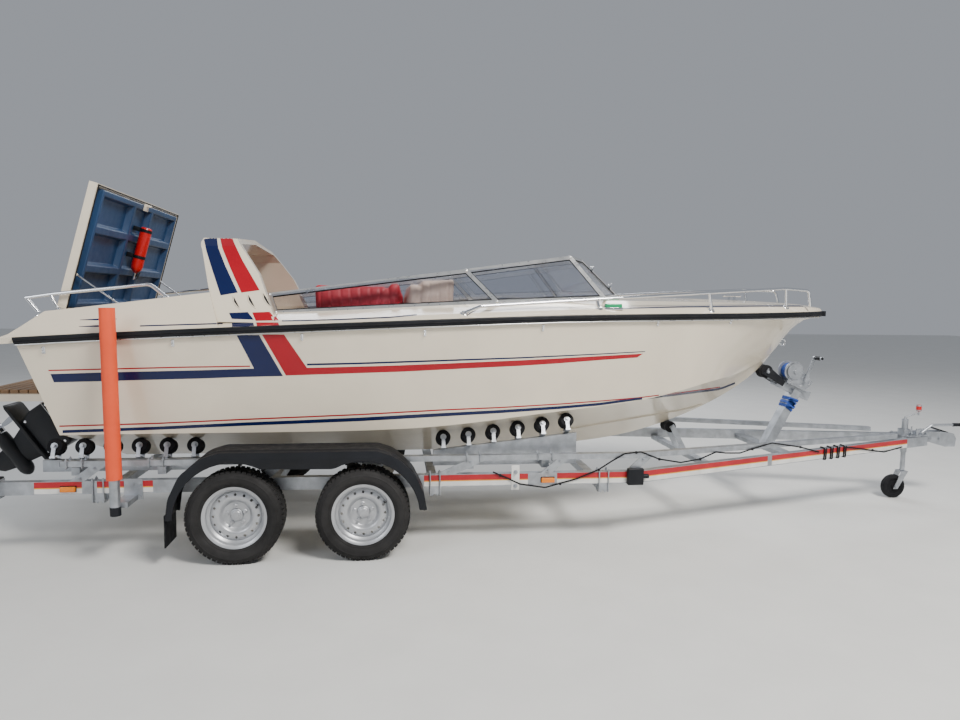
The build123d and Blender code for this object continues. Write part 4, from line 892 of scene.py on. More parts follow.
def hook_piece():
    parts = [rounded((-0.008, -0.022, -0.001), (0.008, 0.022, 0.003), 0.001)]
    for y in (-0.011, 0.011):
        y0, y1 = y - 0.009, y + 0.009
        loop = bent([(-0.005, y0, 0.002), (-0.005, y0, 0.013), (-0.005, y1, 0.013), (-0.005, y1, 0.002)],
                    0.006, 4)
        parts.append(swept(loop, 0.0022, 8))
    return gathered(parts)


hook_pixels = [(44, 350), (173, 343), (302, 337), (425, 333), (543, 328), (658, 323), (731, 321)]
hooks = []
for px, py in hook_pixels:
    spot, normal = hit(hull_skin, px, py)
    up = (Vector((0, 0, 1)) - normal * normal.z).normalized()
    stand = Matrix((normal.cross(up) * -1, up, normal)).transposed().to_4x4()
    hooks.append(moved(hook_piece(), Matrix.Translation(spot) @ stand))
fit("cover_hooks", both_sides(hooks), stainless, BASE)

# %% [markdown]
# Fine navy lines follow the edge of the deck. Two short dark ones aft are painted shade that stands for the
# shaded openings of the vents.

# %% Pinstripes of the deck, and painted shade of its vents
pin_lines = [
    [(140, 326), (223, 323.5)],
    [(282, 321), (340, 319.6), (390, 317.4), (417, 314.8)],
    [(467, 315.5), (480, 307), (500, 306), (540, 303.5), (597, 300)],
    [(620, 308.5), (680, 307), (760, 306), (813, 306)],
]
pinstripe_and_vent_shade_films = [stripe(deck_skin, line, (1.2, 1.2, 1.2), 40) for line in pin_lines]
# The two short vent lines are painted shade: dark lens-shaped films that stand for the shaded openings of the
# vents aft
vent_shade_lines = [[(80, 319.9), (98, 319.5), (117, 319.0)], [(79, 326.6), (98, 326.1), (116, 325.6)]]
pinstripe_and_vent_shade_films += [stripe(deck_skin, line, (0.4, 1.7, 0.4), 24) for line in vent_shade_lines]
fit("deck_pinstripes", both_sides(pinstripe_and_vent_shade_films), navy, BASE, 60)

# %% [markdown]
# The rubbing strake is a black extrusion with a soft bead along its middle, and a thin
# grey lip shows below it where the deck moulding turns over the hull.

# %% Bead of the rubbing strake
rub_skin = surface_of(["rub_rail"])
rub_low, rub_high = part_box("rub_rail")
strake_steps = 70


def rub_line(share, out):
    # Points along the strake at a share of its height, from the transom to the bow
    points = []
    start, end = rub_low.x + 0.012, rub_high.x - 0.06
    for i in range(strake_steps + 1):
        x = start + (end - start) * i / strake_steps
        inside = []
        z = rub_low.z - 0.02
        while z < rub_high.z + 0.02:
            spot, _, _, _ = rub_skin.ray_cast(Vector((x, -2.0, z)), Vector((0, 1, 0)))
            if spot is not None and spot.y < -0.02:
                inside.append(spot)
            z += 0.002
        if not inside:
            continue
        low, high = inside[0].z, inside[-1].z
        y = min(p.y for p in inside)
        points.append(Vector((x, y - out, low + (high - low) * share)))
    return points


bead_path = rub_line(0.5, -0.001)
fit("strake_bead", both_sides([swept(bead_path, 0.007, 10)]), rubber, BASE, 60)
lip_path = [p + Vector((0, 0.010, -0.006)) for p in rub_line(0.0, 0.0)]
fit("strake_lip", both_sides([swept(lip_path, 0.004, 8)]), anodised, BASE, 60)

# %% [markdown]
# The radar arch carries the same two colours, and so does the deck below its foot. In
# the foot are three narrow slots: each is a dark film with a pale lip on its aft edge. The
# dark film is painted shade that stands for the shaded inside of the slot.

# %% Colours and slots of the arch
arch_columns, arch_rows, arch_lift = 130, 14, 0.0014
navy_aft_edge = [(203.9, 239.3), (206.7, 251.9), (212.7, 271.0), (220.7, 295.4)]
navy_front_edge = [(216.8, 237.3), (218.3, 247.9), (225.5, 266.3), (237.8, 292.6)]
red_aft_edge = [(219.9, 236.8), (222.3, 247.9), (231.0, 269.4), (241.4, 292.7)]
red_front_edge = [(231.4, 235.6), (234.2, 243.1), (242.2, 259.9), (259.7, 290.2)]
arch_navy = film(deck_skin, navy_aft_edge, navy_front_edge, arch_columns, arch_rows, arch_lift)
arch_red = film(deck_skin, red_aft_edge, red_front_edge, arch_columns, arch_rows, arch_lift)
foot_navy = [film(deck_skin, [(229.0, 312.9), (231.8, 318.9)], [(247.8, 312.1), (253.8, 319.7)], 14, 8),
             film(deck_skin, [(231.8, 322.9), (232.2, 327.6)], [(253.4, 322.9), (254.6, 327.3)], 10, 8)]
foot_red = [film(deck_skin, [(252.2, 312.5), (255.8, 320.9)], [(272.5, 311.7), (278.9, 320.4)], 14, 8),
            film(deck_skin, [(256.2, 322.5), (257.0, 327.0)], [(278.1, 322.5), (279.7, 326.5)], 10, 8)]
fit("arch_navy", both_sides([arch_navy, *foot_navy]), navy, BASE, 60)
fit("arch_red", both_sides([arch_red, *foot_red]), red, BASE, 60)

slot_curves = [([(232.9, 296.2), (233.6, 302.1), (236.6, 306.1), (240.4, 309.3)],
                [(233.3, 296.2), (235.8, 300.5), (238.6, 306.1), (240.4, 309.3)]),
               ([(247.5, 294.6), (248.4, 300.5), (251.4, 304.9), (255.6, 308.5)],
                [(248.0, 294.6), (250.8, 298.9), (253.5, 304.5), (255.6, 308.5)]),
               ([(262.4, 293.0), (263.6, 298.5), (266.5, 303.3), (271.1, 307.6)],
                [(262.9, 293.0), (266.1, 297.4), (268.9, 302.9), (271.1, 307.6)])]
slot_shade_faces, slot_lips = [], []
for aft_edge, front_edge in slot_curves:
    slot_shade_faces.append(film(deck_skin, aft_edge, front_edge, 16, 4, lift=0.0012))
    lip = [hit(deck_skin, p.x, p.y) for p in spaced(aft_edge, 16)]
    slot_lips.append(swept([spot + normal * 0.001 for spot, normal in lip if spot is not None], 0.0035, 8))
# The dark slot films are painted shade: flat black sheets on the deck that stand for the shaded inside of
# each slot
fit("arch_slots", both_sides(slot_shade_faces), rubber, BASE, 60)
fit("arch_slot_lips", both_sides(slot_lips), gelcoat, BASE, 60)

# %% [markdown]
# The windscreen panes sit in black rubber, inside an alloy frame that is held by small
# countersunk screws. Studs along the rails take the edge of the cover.

# %% Rubber, screws and studs of the windscreen
screen_corners = {"sill_aft": (-0.170, 0.800, 1.548), "head_aft": (-0.215, 0.752, 1.660),
                  "sill_mid": (1.262, 0.752, 1.634), "head_mid": (1.060, 0.700, 1.838),
                  "sill_front": (2.020, 0.690, 1.668), "head_front": (1.790, 0.625, 1.945),
                  "sill_nose": (2.330, 0.0, 1.688), "head_nose": (2.040, 0.0, 1.958),}
screen = {name: place(*corner) for name, corner in screen_corners.items()}


def inset_ring(names, inset):
    corners = [screen[name] for name in names]
    ring = []
    for i, corner in enumerate(corners):
        ahead = (corners[(i + 1) % len(corners)] - corner).normalized()
        back = (corners[i - 1] - corner).normalized()
        ring.append(corner + (ahead + back) * (inset / math.sin(ahead.angle(back))))
    return ring + ring[:2]


panes = [
    ("sill_aft", "sill_mid", "head_mid", "head_aft"), ("sill_mid", "sill_front", "head_front", "head_mid"),
    ("sill_front", "sill_nose", "head_nose", "head_front"),
]
seals = [swept(inset_ring(names, 0.0155), 0.0052, 8) for names in panes]
fit("screen_seals", both_sides(seals), rubber, BASE, 60)


def along_bar(start, end, pitch, skip=0.05):
    # Evenly spaced places along a bar, with the ends left free
    run = screen[end] - screen[start]
    way = run.normalized()
    room = run.length - 2 * skip
    count = max(2, int(room / pitch) + 1)
    return [screen[start] + way * (skip + room * i / (count - 1)) for i in range(count)]


screw_head = gathered([rod((0, 0, 0), (0, 0, 0.0018), 0.0042, 12, 0.0008),
                       rod((0, 0, 0.0016), (0, 0, 0.0022), 0.0014, 6)])
stud_head = gathered([rod((0, 0, 0), (0, 0, 0.002), 0.0075, 14),
                      rod((0, 0, 0.002), (0, 0, 0.0075), 0.0042, 12, 0.0016)])
outboard = Vector((0, 1, 0.12)).normalized()
screw_out, stud_up = 0.0085, 0.0128
screws, studs = [], []
for start, end, pitch in (("sill_aft", "sill_mid", 0.16), ("sill_mid", "sill_front", 0.16),
                          ("sill_mid", "head_mid", 0.10), ("sill_front", "head_front", 0.11)):
    screws += [(p + outboard * screw_out, outboard) for p in along_bar(start, end, pitch)]
for start, end in (("head_aft", "head_mid"), ("head_mid", "head_front")):
    up = (screen[end] - screen[start]).cross(Vector((0, 1, 0))).normalized() * -1
    studs += [(p + up * stud_up, up) for p in along_bar(start, end, 0.42, 0.06)]
fit("screen_screws", both_sides([on_points(screw_head, screws, stainless)]), stainless, BASE)
fit("screen_studs", both_sides([on_points(stud_head, studs, black_plastic)]), black_plastic, BASE)

# %% Hinges between the two panes of the nose
hinge_parts = []
for share in (0.25, 0.75):
    middle = screen["sill_nose"].lerp(screen["head_nose"], share)
    for y in (0.030, -0.030):
        at = middle + Vector((0.012, y, 0.006))
        leaf = rounded(at - Vector((0.006, 0.022, 0.020)), at + Vector((0.002, 0.022, 0.020)), 0.0015)
        hinge_parts.append(leaf)
    at = middle + Vector((0.016, 0, 0.006))
    hinge_parts.append(rod(at - Vector((0, 0, 0.024)), at + Vector((0, 0, 0.024)), 0.006, 14, 0.001))
fit("screen_hinges", gathered(hinge_parts), stainless, BASE)

# %% [markdown]
# Rails end in round flanges that are screwed to the deck. The places of the feet are
# the CAD model's; the height and slope of the deck under each come from a ray.

# %% Feet of the rails
flange_profile = [(0, -0.004), (0.024, -0.004), (0.024, 0.002), (0.021, 0.0045), (0.0145, 0.0055),
                  (0.0145, 0.012), (0, 0.012)]


def deck_spot(x, y):
    # The deck below a place, and its upward normal
    spot, normal, _, _ = deck_skin.ray_cast(place(x, y, 3.0), Vector((0, 0, -1)))
    if spot is None:
        return None, None
    return spot, (normal if normal.z > 0 else -normal)


rail_feet = [(1.022, 0.938), (1.951, 0.819), (2.837, 0.621), (3.597, 0.301), (3.844, 0.228), (-0.830, 0.829),
             (-1.454, 0.829), (-1.575, 0.829)]
screw_angles = (0.5, 2.6, 4.7)
screw_circle = 0.019
flanges = []
for x, y in rail_feet:
    spot, normal = deck_spot(x, y)
    if spot is None:
        continue
    flanges.append(lathe(flange_profile, along(spot, normal), 24, closed=False))
    screw_spots = []
    across = normal.orthogonal().normalized()
    for angle in screw_angles:
        turn = Matrix.Rotation(angle, 3, normal)
        screw_spots.append((spot + turn @ across * screw_circle + normal * 0.003, normal))
    flanges.append(on_points(screw_head, screw_spots, stainless))
fit("rail_feet", both_sides(flanges), stainless, BASE)

# %% Side lights: a coloured lens on a chrome foot, green to starboard and red to port
red_lens = plain("red_lens", (0.55, 0.01, 0.02), 0.15, mottle=0.05, grain=0)
lamp_low, lamp_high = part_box("nav_lights")
lamp_x = (lamp_low.x + lamp_high.x) / 2 - axle_middle
lamp_y, lamp_depth = 0.79, 0.052
for side, finish, name in ((-1, green_lens, "starboard"), (1, red_lens, "port")):
    spot, _ = deck_spot(lamp_x, side * lamp_y)
    edge_y = side * (max(abs(lamp_low.y), lamp_high.y) - 0.003)
    inner_y = edge_y - side * lamp_depth
    top = lamp_high.z - 0.002
    low_y, high_y = sorted((inner_y, edge_y))
    lens = rounded((lamp_low.x + 0.004, low_y, spot.z - 0.012), (lamp_high.x - 0.004, high_y, top), 0.009, 4)
    fit(f"side_light_{name}", lens, finish, BASE, 50,
        stands_for=["nav_lights"] if side < 0 else ())
    foot_low, foot_high = sorted((inner_y - side * 0.006, edge_y + side * 0.002))
    foot = rounded((lamp_low.x, foot_low, spot.z - 0.014), (lamp_high.x, foot_high, spot.z + 0.004), 0.003)
    fit(f"side_light_foot_{name}", foot, stainless, BASE)

# %% [markdown]
# The engine hatch stands open. Its inside is a dark blue moulding with pans between
# ribs. The pans are drawn in the hatch's own frame, where x runs from the hinge to the
# free edge, and one matrix stands all of it up.

# %% Inside of the engine hatch
hatch_open = math.radians(74.5)
hatch_at = Matrix.Translation(place(-1.435, 0, 1.535)) @ Matrix.Rotation(-hatch_open, 4, "Y")
liner_low, liner_back = -0.0175, 0.030
rib_x = [0.027, 0.062, 0.268, 0.312, 0.518, 0.562, 0.758, 0.793]
rib_y = [-0.727, -0.698, -0.192, -0.152, 0.152, 0.192, 0.698, 0.727]
pan_depth, pan_taper = 0.042, 0.014


def panned_face():
    points, faces = [], []

    def quad(corners):
        start = len(points)
        points.extend(corners)
        faces.append(tuple(range(start, start + 4)))

    for i, (x0, x1) in enumerate(zip(rib_x, rib_x[1:])):
        for j, (y0, y1) in enumerate(zip(rib_y, rib_y[1:])):
            if i % 2 == 1 and j % 2 == 1:
                rim = [(x0, y0), (x1, y0), (x1, y1), (x0, y1)]
                bed = [(x0 + pan_taper, y0 + pan_taper), (x1 - pan_taper, y0 + pan_taper),
                       (x1 - pan_taper, y1 - pan_taper), (x0 + pan_taper, y1 - pan_taper)]
                deep = liner_low + pan_depth
                for k in range(4):
                    a, b = k, (k + 1) % 4
                    quad([(*rim[a], liner_low), (*rim[b], liner_low), (*bed[b], deep), (*bed[a], deep)])
                quad([(x, y, deep) for x, y in bed])
            else:
                quad([(x0, y0, liner_low), (x1, y0, liner_low), (x1, y1, liner_low), (x0, y1, liner_low)])
    # The outer wall goes round the four sides, with a point at each rib
    rim_line = [(x, rib_y[0]) for x in rib_x] + [(rib_x[-1], y) for y in rib_y[1:]]
    rim_line += [(x, rib_y[-1]) for x in reversed(rib_x[:-1])] + [(rib_x[0], y) for y in reversed(rib_y[:-1])]
    for p0, p1 in zip(rim_line, rim_line[1:]):
        quad([(*p0, liner_low), (*p1, liner_low), (*p1, liner_back), (*p0, liner_back)])
    return mesh_of(points, faces)


liner_mesh = worked(panned_face(), bevel=0.007, segments=3, angle=25)
fit("hatch_inner_skin", moved(liner_mesh, hatch_at), navy_shade, "hatch", 50,
    stands_for=["hatch_liner"])

# %% [markdown]
# A fire extinguisher is strapped to the inside of the hatch. The bottle is turned from
# its profile: a rounded base, a shoulder, and a neck that carries the valve.

# %% Extinguisher
bottle_z = -0.062
bottle_axis = hatch_at @ along((0.640, 0, bottle_z), (-1, 0, 0))
bottle_profile = [
    (0, 0.004), (0.022, 0.0), (0.034, 0.004), (0.0388, 0.014), (0.0398, 0.024), (0.0398, 0.285),
    (0.038, 0.302), (0.032, 0.318), (0.022, 0.329), (0.0150, 0.333), (0.0135, 0.338), (0, 0.338),
]
fit("extinguisher_bottle", lathe(bottle_profile, bottle_axis, 40, closed=False), red_paint, "hatch",
    stands_for=["extinguisher"])
valve_profile = [(0, 0.336), (0.0132, 0.336), (0.0136, 0.352), (0.0115, 0.356), (0.0115, 0.372),
                 (0.0125, 0.374), (0.0125, 0.388), (0, 0.388)]
fit("extinguisher_valve", lathe(valve_profile, bottle_axis, 24, closed=False), stainless, "hatch")
lever_parts = [swept([(0.252, 0.0, bottle_z - 0.008), (0.262, 0.0, bottle_z - 0.020),
                      (0.315, 0.0, bottle_z - 0.032)], 0, flat=(0.008, 0.0015)),
               swept([(0.268, 0.0, bottle_z - 0.008), (0.280, 0.0, bottle_z - 0.015),
                      (0.325, 0.0, bottle_z - 0.022)], 0, flat=(0.007, 0.0015)),
               rod((0.276, 0.010, bottle_z), (0.276, 0.020, bottle_z), 0.010, 20, 0.001)]
fit("extinguisher_levers", moved(gathered(lever_parts), hatch_at), black_plastic, "hatch")
strap_ring = [(0.0402, -0.011), (0.0415, -0.011), (0.0415, 0.011), (0.0402, 0.011)]
strap_parts = []
for x in (0.420, 0.615):
    strap_parts.append(lathe(strap_ring, along((x, 0, bottle_z), (1, 0, 0)), 40))
    strap_parts.append(rounded((x - 0.016, -0.019, -0.0235), (x + 0.016, 0.019, 0.023), 0.002))
    strap_parts.append(rounded((x - 0.010, 0.036, bottle_z - 0.008),
                               (x + 0.010, 0.043, bottle_z + 0.008), 0.0015))
fit("extinguisher_straps", moved(gathered(strap_parts), hatch_at), black_plastic, "hatch")

# %% Catch of the hatch, and a seal along its rim
catch_parts = [rounded((0.752, -0.034, -0.030), (0.802, 0.034, -0.0165), 0.002),
               rounded((0.786, -0.012, -0.056), (0.800, 0.012, -0.024), 0.003),
               rod((0.767, -0.020, -0.030), (0.767, -0.020, -0.033), 0.004, 12, 0.001),
               rod((0.767, 0.020, -0.030), (0.767, 0.020, -0.033), 0.004, 12, 0.001)]
fit("hatch_catch", moved(gathered(catch_parts), hatch_at), gelcoat, "hatch")
seal_corners = [(0.017, -0.788), (0.811, -0.788), (0.811, 0.788), (0.017, 0.788), (0.017, -0.788),
                (0.30, -0.788)]
seal_path = [(x, y, -0.003) for x, y in seal_corners]
fit("hatch_seal", moved(swept(seal_path, 0.0045, 8), hatch_at), rubber, "hatch", 60)

# %% [markdown]
# The seats are padded vinyl. Each pad starts as a rounded box a little smaller than its
# room, is remeshed into an even net, and is blown up as cloth under air pressure. The
# swell is capped, so that a pad stays in its room, and the sewn pleats are pressed in
# afterwards.

# %% Padded seats
pad_voxel = 0.013
pad_swell = 0.016
air_pressure = 4.0
cloth_frames = 20
pleat_pitch = 0.062
pleat_depth = 0.0065
pleat_half_width = 0.008
pleat_margin = 0.035
pleat_fade = 0.02


def pad_block(low, high):
    room = pad_swell * 0.75
    return rounded([c + room for c in low], [c - room for c in high], 0.022, 3)


def blow_up(carrier):
    # Runs the cloth under pressure, and keeps each point within the swell of its start
    scene = bpy.context.scene
    starts = [vertex.co.copy() for vertex in carrier.data.vertices]
    cloth = carrier.modifiers.new("cloth", "CLOTH")
    cloth.settings.use_pressure = True
    cloth.settings.uniform_pressure_force = air_pressure
    cloth.settings.effector_weights.gravity = 0
    cloth.settings.quality = 5
    cloth.collision_settings.use_collision = False
    cloth.point_cache.frame_start = 1
    cloth.point_cache.frame_end = cloth_frames
    for step in range(1, cloth_frames + 1):
        scene.frame_set(step)
    blown = settled(carrier)
    carrier.modifiers.clear()
    carrier.data = blown
    scene.frame_set(1)
    for vertex, start in zip(blown.vertices, starts):
        shift = vertex.co - start
        if shift.length > pad_swell:
            vertex.co = start + shift.normalized() * pad_swell


def puffed(meshes, name):
    carrier = linked(name, gathered(meshes))
    net = carrier.modifiers.new("net", "REMESH")
    net.mode = "VOXEL"
    net.voxel_size = pad_voxel
    even = settled(carrier)
    carrier.modifiers.clear()
    carrier.data = even
    blow_up(carrier)
    finished = worked(carrier.data, smooth=1)
    bpy.data.objects.remove(carrier)
    return finished


def pleated(mesh, channels):
    # Each channel: box low, box high, the axis that the pleats step along, and the axis
    # and sign of the face that they are sewn in
    mesh.update()
    normals = [v.normal.copy() for v in mesh.vertices]
    for low, high, step_axis, face_axis, face_sign in channels:
        start, end = low[step_axis], high[step_axis]
        count = max(2, round((end - start) / pleat_pitch))
        pitch = (end - start) / count
        for vertex, normal in zip(mesh.vertices, normals):
            co = vertex.co
            if not all(low[k] - 0.03 <= co[k] <= high[k] + 0.03 for k in range(3)):
                continue
            if normal[face_axis] * face_sign < 0.5:
                continue
            inside = 1.0
            for k in range(3):
                if k != face_axis:
                    room = min(co[k] - low[k], high[k] - co[k]) - pleat_margin
                    inside = min(inside, room / pleat_fade)
            if inside <= 0:
                continue
            nearest = round((co[step_axis] - start) / pitch)
            if nearest in (0, count):
                continue
            away = abs(co[step_axis] - start - nearest * pitch)
            vertex.co = co - normal * pleat_depth * inside * math.exp(-(away / pleat_half_width) ** 2)
    return mesh


seat_y, seat_half = 0.400, 0.235
wing_half = 0.236
wing_thickness = 0.072


def seat_boxes(spans):
    # The same cushions and backs to starboard and to port
    made = []
    for middle in (-seat_y, seat_y):
        for x0, x1, z0, z1 in spans:
            made.append((place(x0, middle - seat_half, z0), place(x1, middle + seat_half, z1)))
    return made


cushion_low, cushion_high, seat_back_high = 1.1405, 1.2500, 1.770
forward_spans = [(0.700, 1.120, cushion_low, cushion_high),
                 (0.660, 0.760, cushion_high + 0.002, seat_back_high)]
aft_spans = [(0.130, 0.600, cushion_low, cushion_high), (0.540, 0.640, cushion_high + 0.002, seat_back_high)]
forward_boxes = seat_boxes(forward_spans)
aft_boxes = seat_boxes(aft_spans)


def wing_boxes(x0, x1, top):
    # The side wings that turn each seat into a bucket
    made = []
    for side in (-1, 1):
        for edge in (-1, 1):
            outer = side * seat_y + edge * wing_half
            y0, y1 = sorted((outer, outer - edge * wing_thickness))
            made.append((place(x0, y0, cushion_low + 0.10), place(x1, y1, top)))
    return made


forward_wings = wing_boxes(0.752, 1.010, 1.800)
aft_wings = wing_boxes(0.030, 0.548, 1.755)
bench_boxes = [(place(-0.550, -0.690, cushion_low), place(-0.160, 0.690, cushion_high)),
               (place(-0.550, -0.690, cushion_high + 0.002), place(-0.470, 0.690, 1.560))]


def channels_of(boxes, back_sign):
    # Cushions, which come first in each pair, are sewn on top, and backs on both faces
    made = []
    for i, (low, high) in enumerate(boxes):
        if i % 2 == 0:
            made.append((low, high, 1, 2, 1))
        else:
            made.append((low, high, 1, 0, back_sign))
            made.append((low, high, 1, 0, -back_sign))
    return made


def wing_channels(wings):
    return [(low, high, 0, 1, sign) for low, high in wings for sign in (-1, 1)]


for name, boxes, wings, finish, slot, sign in (
        ("helm_seats", forward_boxes, forward_wings, cream_vinyl, "vinyl_cream", 1),
        ("aft_seats", aft_boxes, aft_wings, crimson_vinyl, "vinyl_red", -1),
        ("bench_seat", bench_boxes, [], crimson_vinyl, "vinyl_red", 1)):
    pads = [pad_block(low, high) for low, high in boxes + wings]
    cloth_mesh = pleated(puffed(pads, name), channels_of(boxes, sign) + wing_channels(wings))
    seat = fit(name + "_pads", cloth_mesh, finish, sharp=80, stands_for=[name])

# %% [markdown]
# The dash carries two large gauges and four small ones. Each has a turned bezel, a dark
# dial and a red needle, and bears no marks.

# %% Gauges of the dash
dash_normal = Vector((-0.200, 0, 0.050)).normalized()


def dash_point(y, share):
    return place(1.240 + 0.050 * share, y, 1.400 + 0.200 * share)


gauge_face = plain("gauge_face", (0.05, 0.05, 0.055), 0.4, mottle=0.05, grain=0)
# Each gauge: its place across the boat, its share of the dash's height, and its radius
gauges = [(-0.480, 0.62, 0.045), (-0.330, 0.62, 0.045), (-0.190, 0.66, 0.029), (-0.110, 0.66, 0.029),
          (-0.570, 0.66, 0.029), (-0.150, 0.30, 0.029)]
bezels, dials, needles = [], [], []
for y, share, radius in gauges:
    at = along(dash_point(y, share) + dash_normal * -0.001, dash_normal)
    inner = radius * 0.86
    bezels.append(lathe([(inner, 0), (radius, 0), (radius, 0.005), (radius * 0.94, 0.008), (inner, 0.004)],
                        at, 36))
    dial = lathe([(0, 0), (radius * 0.87, 0), (radius * 0.87, 0.0025), (0, 0.0025)], at, 36, closed=False)
    dials.append(dial)
    needle = block((-0.001, -radius * 0.1, 0.0028), (0.001, radius * 0.7, 0.0040))
    needles.append(moved(needle, at @ Matrix.Rotation(0.7 + y * 5, 4, "Z")))
fit("gauge_bezels", gathered(bezels), stainless)
fit("gauge_dials", gathered(dials), gauge_face)
fit("gauge_needles", gathered(needles), red_paint)

# %% [markdown]
# The stern drive is a casting with soft edges. Its outlines are drawn with the leg
# lowered, counted from the tilt axis, and then turned up to where the frame holds them.

# %% Stern drive
tilt_at = place(-1.690, 0, 0.760)
drive_raised = math.radians(55)
raised = Matrix.Translation(tilt_at) @ Matrix.Rotation(drive_raised, 4, "Y")
shaft_z = -0.545
cast_half = 0.0872
foil_steps = 24


def cast(outline, half, bevel):
    return worked(pushed(outline, -half, half), bevel=bevel, segments=4, angle=20)


upper_cast = cast([(-0.058, -0.140), (-0.058, -0.034), (-0.186, 0.044), (-0.222, 0.008), (-0.230, -0.140)],
                  cast_half, 0.016)
lower_cast = cast([(-0.230, -0.136), (0.106, -0.136), (0.121, -0.162), (0.109, -0.329), (-0.198, -0.329),
                   (-0.229, -0.250)], cast_half, 0.020)
cheek_casts = []
for side in (-1, 1):
    y0, y1 = sorted((side * 0.0625, side * 0.0875))
    disc = lathe([(0.0201, 0), (0.078, 0), (0.0795, 0.002), (0.0795, 0.023), (0.076, 0.025), (0.045, 0.025),
                  (0.043, 0.0215), (0.030, 0.0215), (0.0205, 0.0205)],
                 along((0, side * 0.0625, 0), (0, side, 0)), 48)
    web = worked(pushed([(-0.071, 0.028), (0.003, 0.028), (0.003, -0.140), (-0.058, -0.140),
                         (-0.071, -0.060)], y0, y1), bevel=0.003)
    cheek_casts.extend([disc, web])
plate_cast = worked(pushed([(0.112, -0.331), (0.130, -0.342), (0.112, -0.3535), (-0.330, -0.3535),
                            (-0.358, -0.342), (-0.330, -0.331)], -0.117, 0.117), bevel=0.005)


def foil_ring(x_front, x_back, z, half):
    # A symmetric section, blunt in front and thin behind
    ring = []
    for k in range(foil_steps):
        angle = 2 * math.pi * k / foil_steps
        share = (1 - math.cos(angle)) / 2
        x = x_front + (x_back - x_front) * share
        thick = half * 1.54 * (math.sqrt(share) - share ** 1.8) if 0 < share < 1 else 0.0
        ring.append(Vector((x, math.copysign(min(thick, half), math.sin(angle)), z)))
    return ring


foil_sections = [
    (0.094, -0.200, -0.335, 0.0335), (0.072, -0.165, -0.430, 0.0335), (0.058, -0.132, -0.510, 0.0335),
    (0.046, -0.116, -0.600, 0.0280), (0.022, -0.104, -0.680, 0.0150), (-0.030, -0.094, -0.735, 0.0060),
]
foil = skinned([foil_ring(*section) for section in foil_sections])
torpedo_profile = [(0, 0.140), (0.014, 0.137), (0.030, 0.126), (0.043, 0.108), (0.0505, 0.086),
                   (0.052, 0.060), (0.052, -0.150), (0.0505, -0.190), (0.0475, -0.214), (0.0, -0.215)]
torpedo_cast = lathe(torpedo_profile, along((0, 0, shaft_z), (1, 0, 0)), 48, closed=False)
shaft_rod = rod((-0.208, 0, shaft_z), (-0.300, 0, shaft_z), 0.0119, 24, 0.002)
casting = gathered([upper_cast, lower_cast, *cheek_casts, plate_cast, foil, torpedo_cast, shaft_rod])
fit("drive_casting", moved(casting, raised), drive_paint, "drive", 30,
    stands_for=["drive_leg"])
bolt_places = [(-0.080, -0.120), (-0.200, -0.120), (0.085, -0.170), (0.085, -0.305), (-0.180, -0.305),
               (-0.020, -0.150)]
cap_bolts = []
for side in (-1, 1):
    for x, z in bolt_places:
        cap_bolts.append((Vector((x, side * cast_half, z)), Vector((0, side, 0))))
cap_bolt = hex_bolt(0.013, 0.006, 0.018)
fit("drive_bolts", moved(on_points(cap_bolt, cap_bolts, stainless), raised), stainless, "drive")
seam = [rounded((-0.2325, -0.0885, -0.142), (0.060, 0.0885, -0.138), 0.0008),
        rod((-0.150, -0.0885, 0.012), (-0.150, 0.0885, 0.012), 0.011, 24, 0.002)]
fit("drive_seam", moved(gathered(seam), raised), stainless, "drive")
pin_caps = [rod((tilt_at.x, side * 0.105, tilt_at.z), (tilt_at.x, side * 0.1125, tilt_at.z), 0.028, 32, 0.003)
            for side in (-1, 1)]
fit("tilt_pin_caps", gathered(pin_caps), stainless, "drive_yoke")

# %% [markdown]
# The propeller has three blades. A blade is a net of points that widens, twists and
# rakes aft as it leaves the hub, and both its faces meet in a thin edge.

# %% Propeller
hub_x = -0.221
blade_count = 3
blade_root, blade_tip = 0.044, 0.1765
tall, wide = 12, 9


def blade():
    # Rows of points from the root to the tip, each with a point on both faces
    rows = []
    for i in range(tall):
        share = i / (tall - 1)
        radius = blade_root + (blade_tip - blade_root) * share
        belly = 0.052 * math.sin(math.pi * min(share * 1.15, 1.0))
        chord = 0.078 + belly - 0.070 * max(0.0, share - 0.72) / 0.28
        turn = math.radians(62 - 34 * share)
        row = []
        for j in range(wide):
            chord_share = j / (wide - 1)
            across = (chord_share - 0.5) * chord
            thick = 0.0035 * (1 - share * 0.6) * (1 - (2 * chord_share - 1) ** 2)
            angle = across * math.sin(turn) / radius
            x = hub_x - 0.045 - across * math.cos(turn) * 0.62
            y, z = radius * math.sin(angle), radius * math.cos(angle)
            row.append([(x + side * thick, y, z) for side in (-1, 1)])
        rows.append(row)
    points, faces = [], []
    for side in (0, 1):
        for row in rows:
            points.extend(cell[side] for cell in row)
    for side in (0, 1):
        base = side * wide * tall
        for i in range(tall - 1):
            for j in range(wide - 1):
                a = base + i * wide + j
                faces.append((a, a + 1, a + wide + 1, a + wide))
    rim = list(range(wide)) + [i * wide + wide - 1 for i in range(1, tall)]
    rim += [(tall - 1) * wide + j for j in range(wide - 2, -1, -1)]
    rim += [i * wide for i in range(tall - 2, 0, -1)]
    count = wide * tall
    for a, b in zip(rim, rim[1:] + rim[:1]):
        faces.append((a, b, b + count, a + count))
    return mesh_of(points, faces)


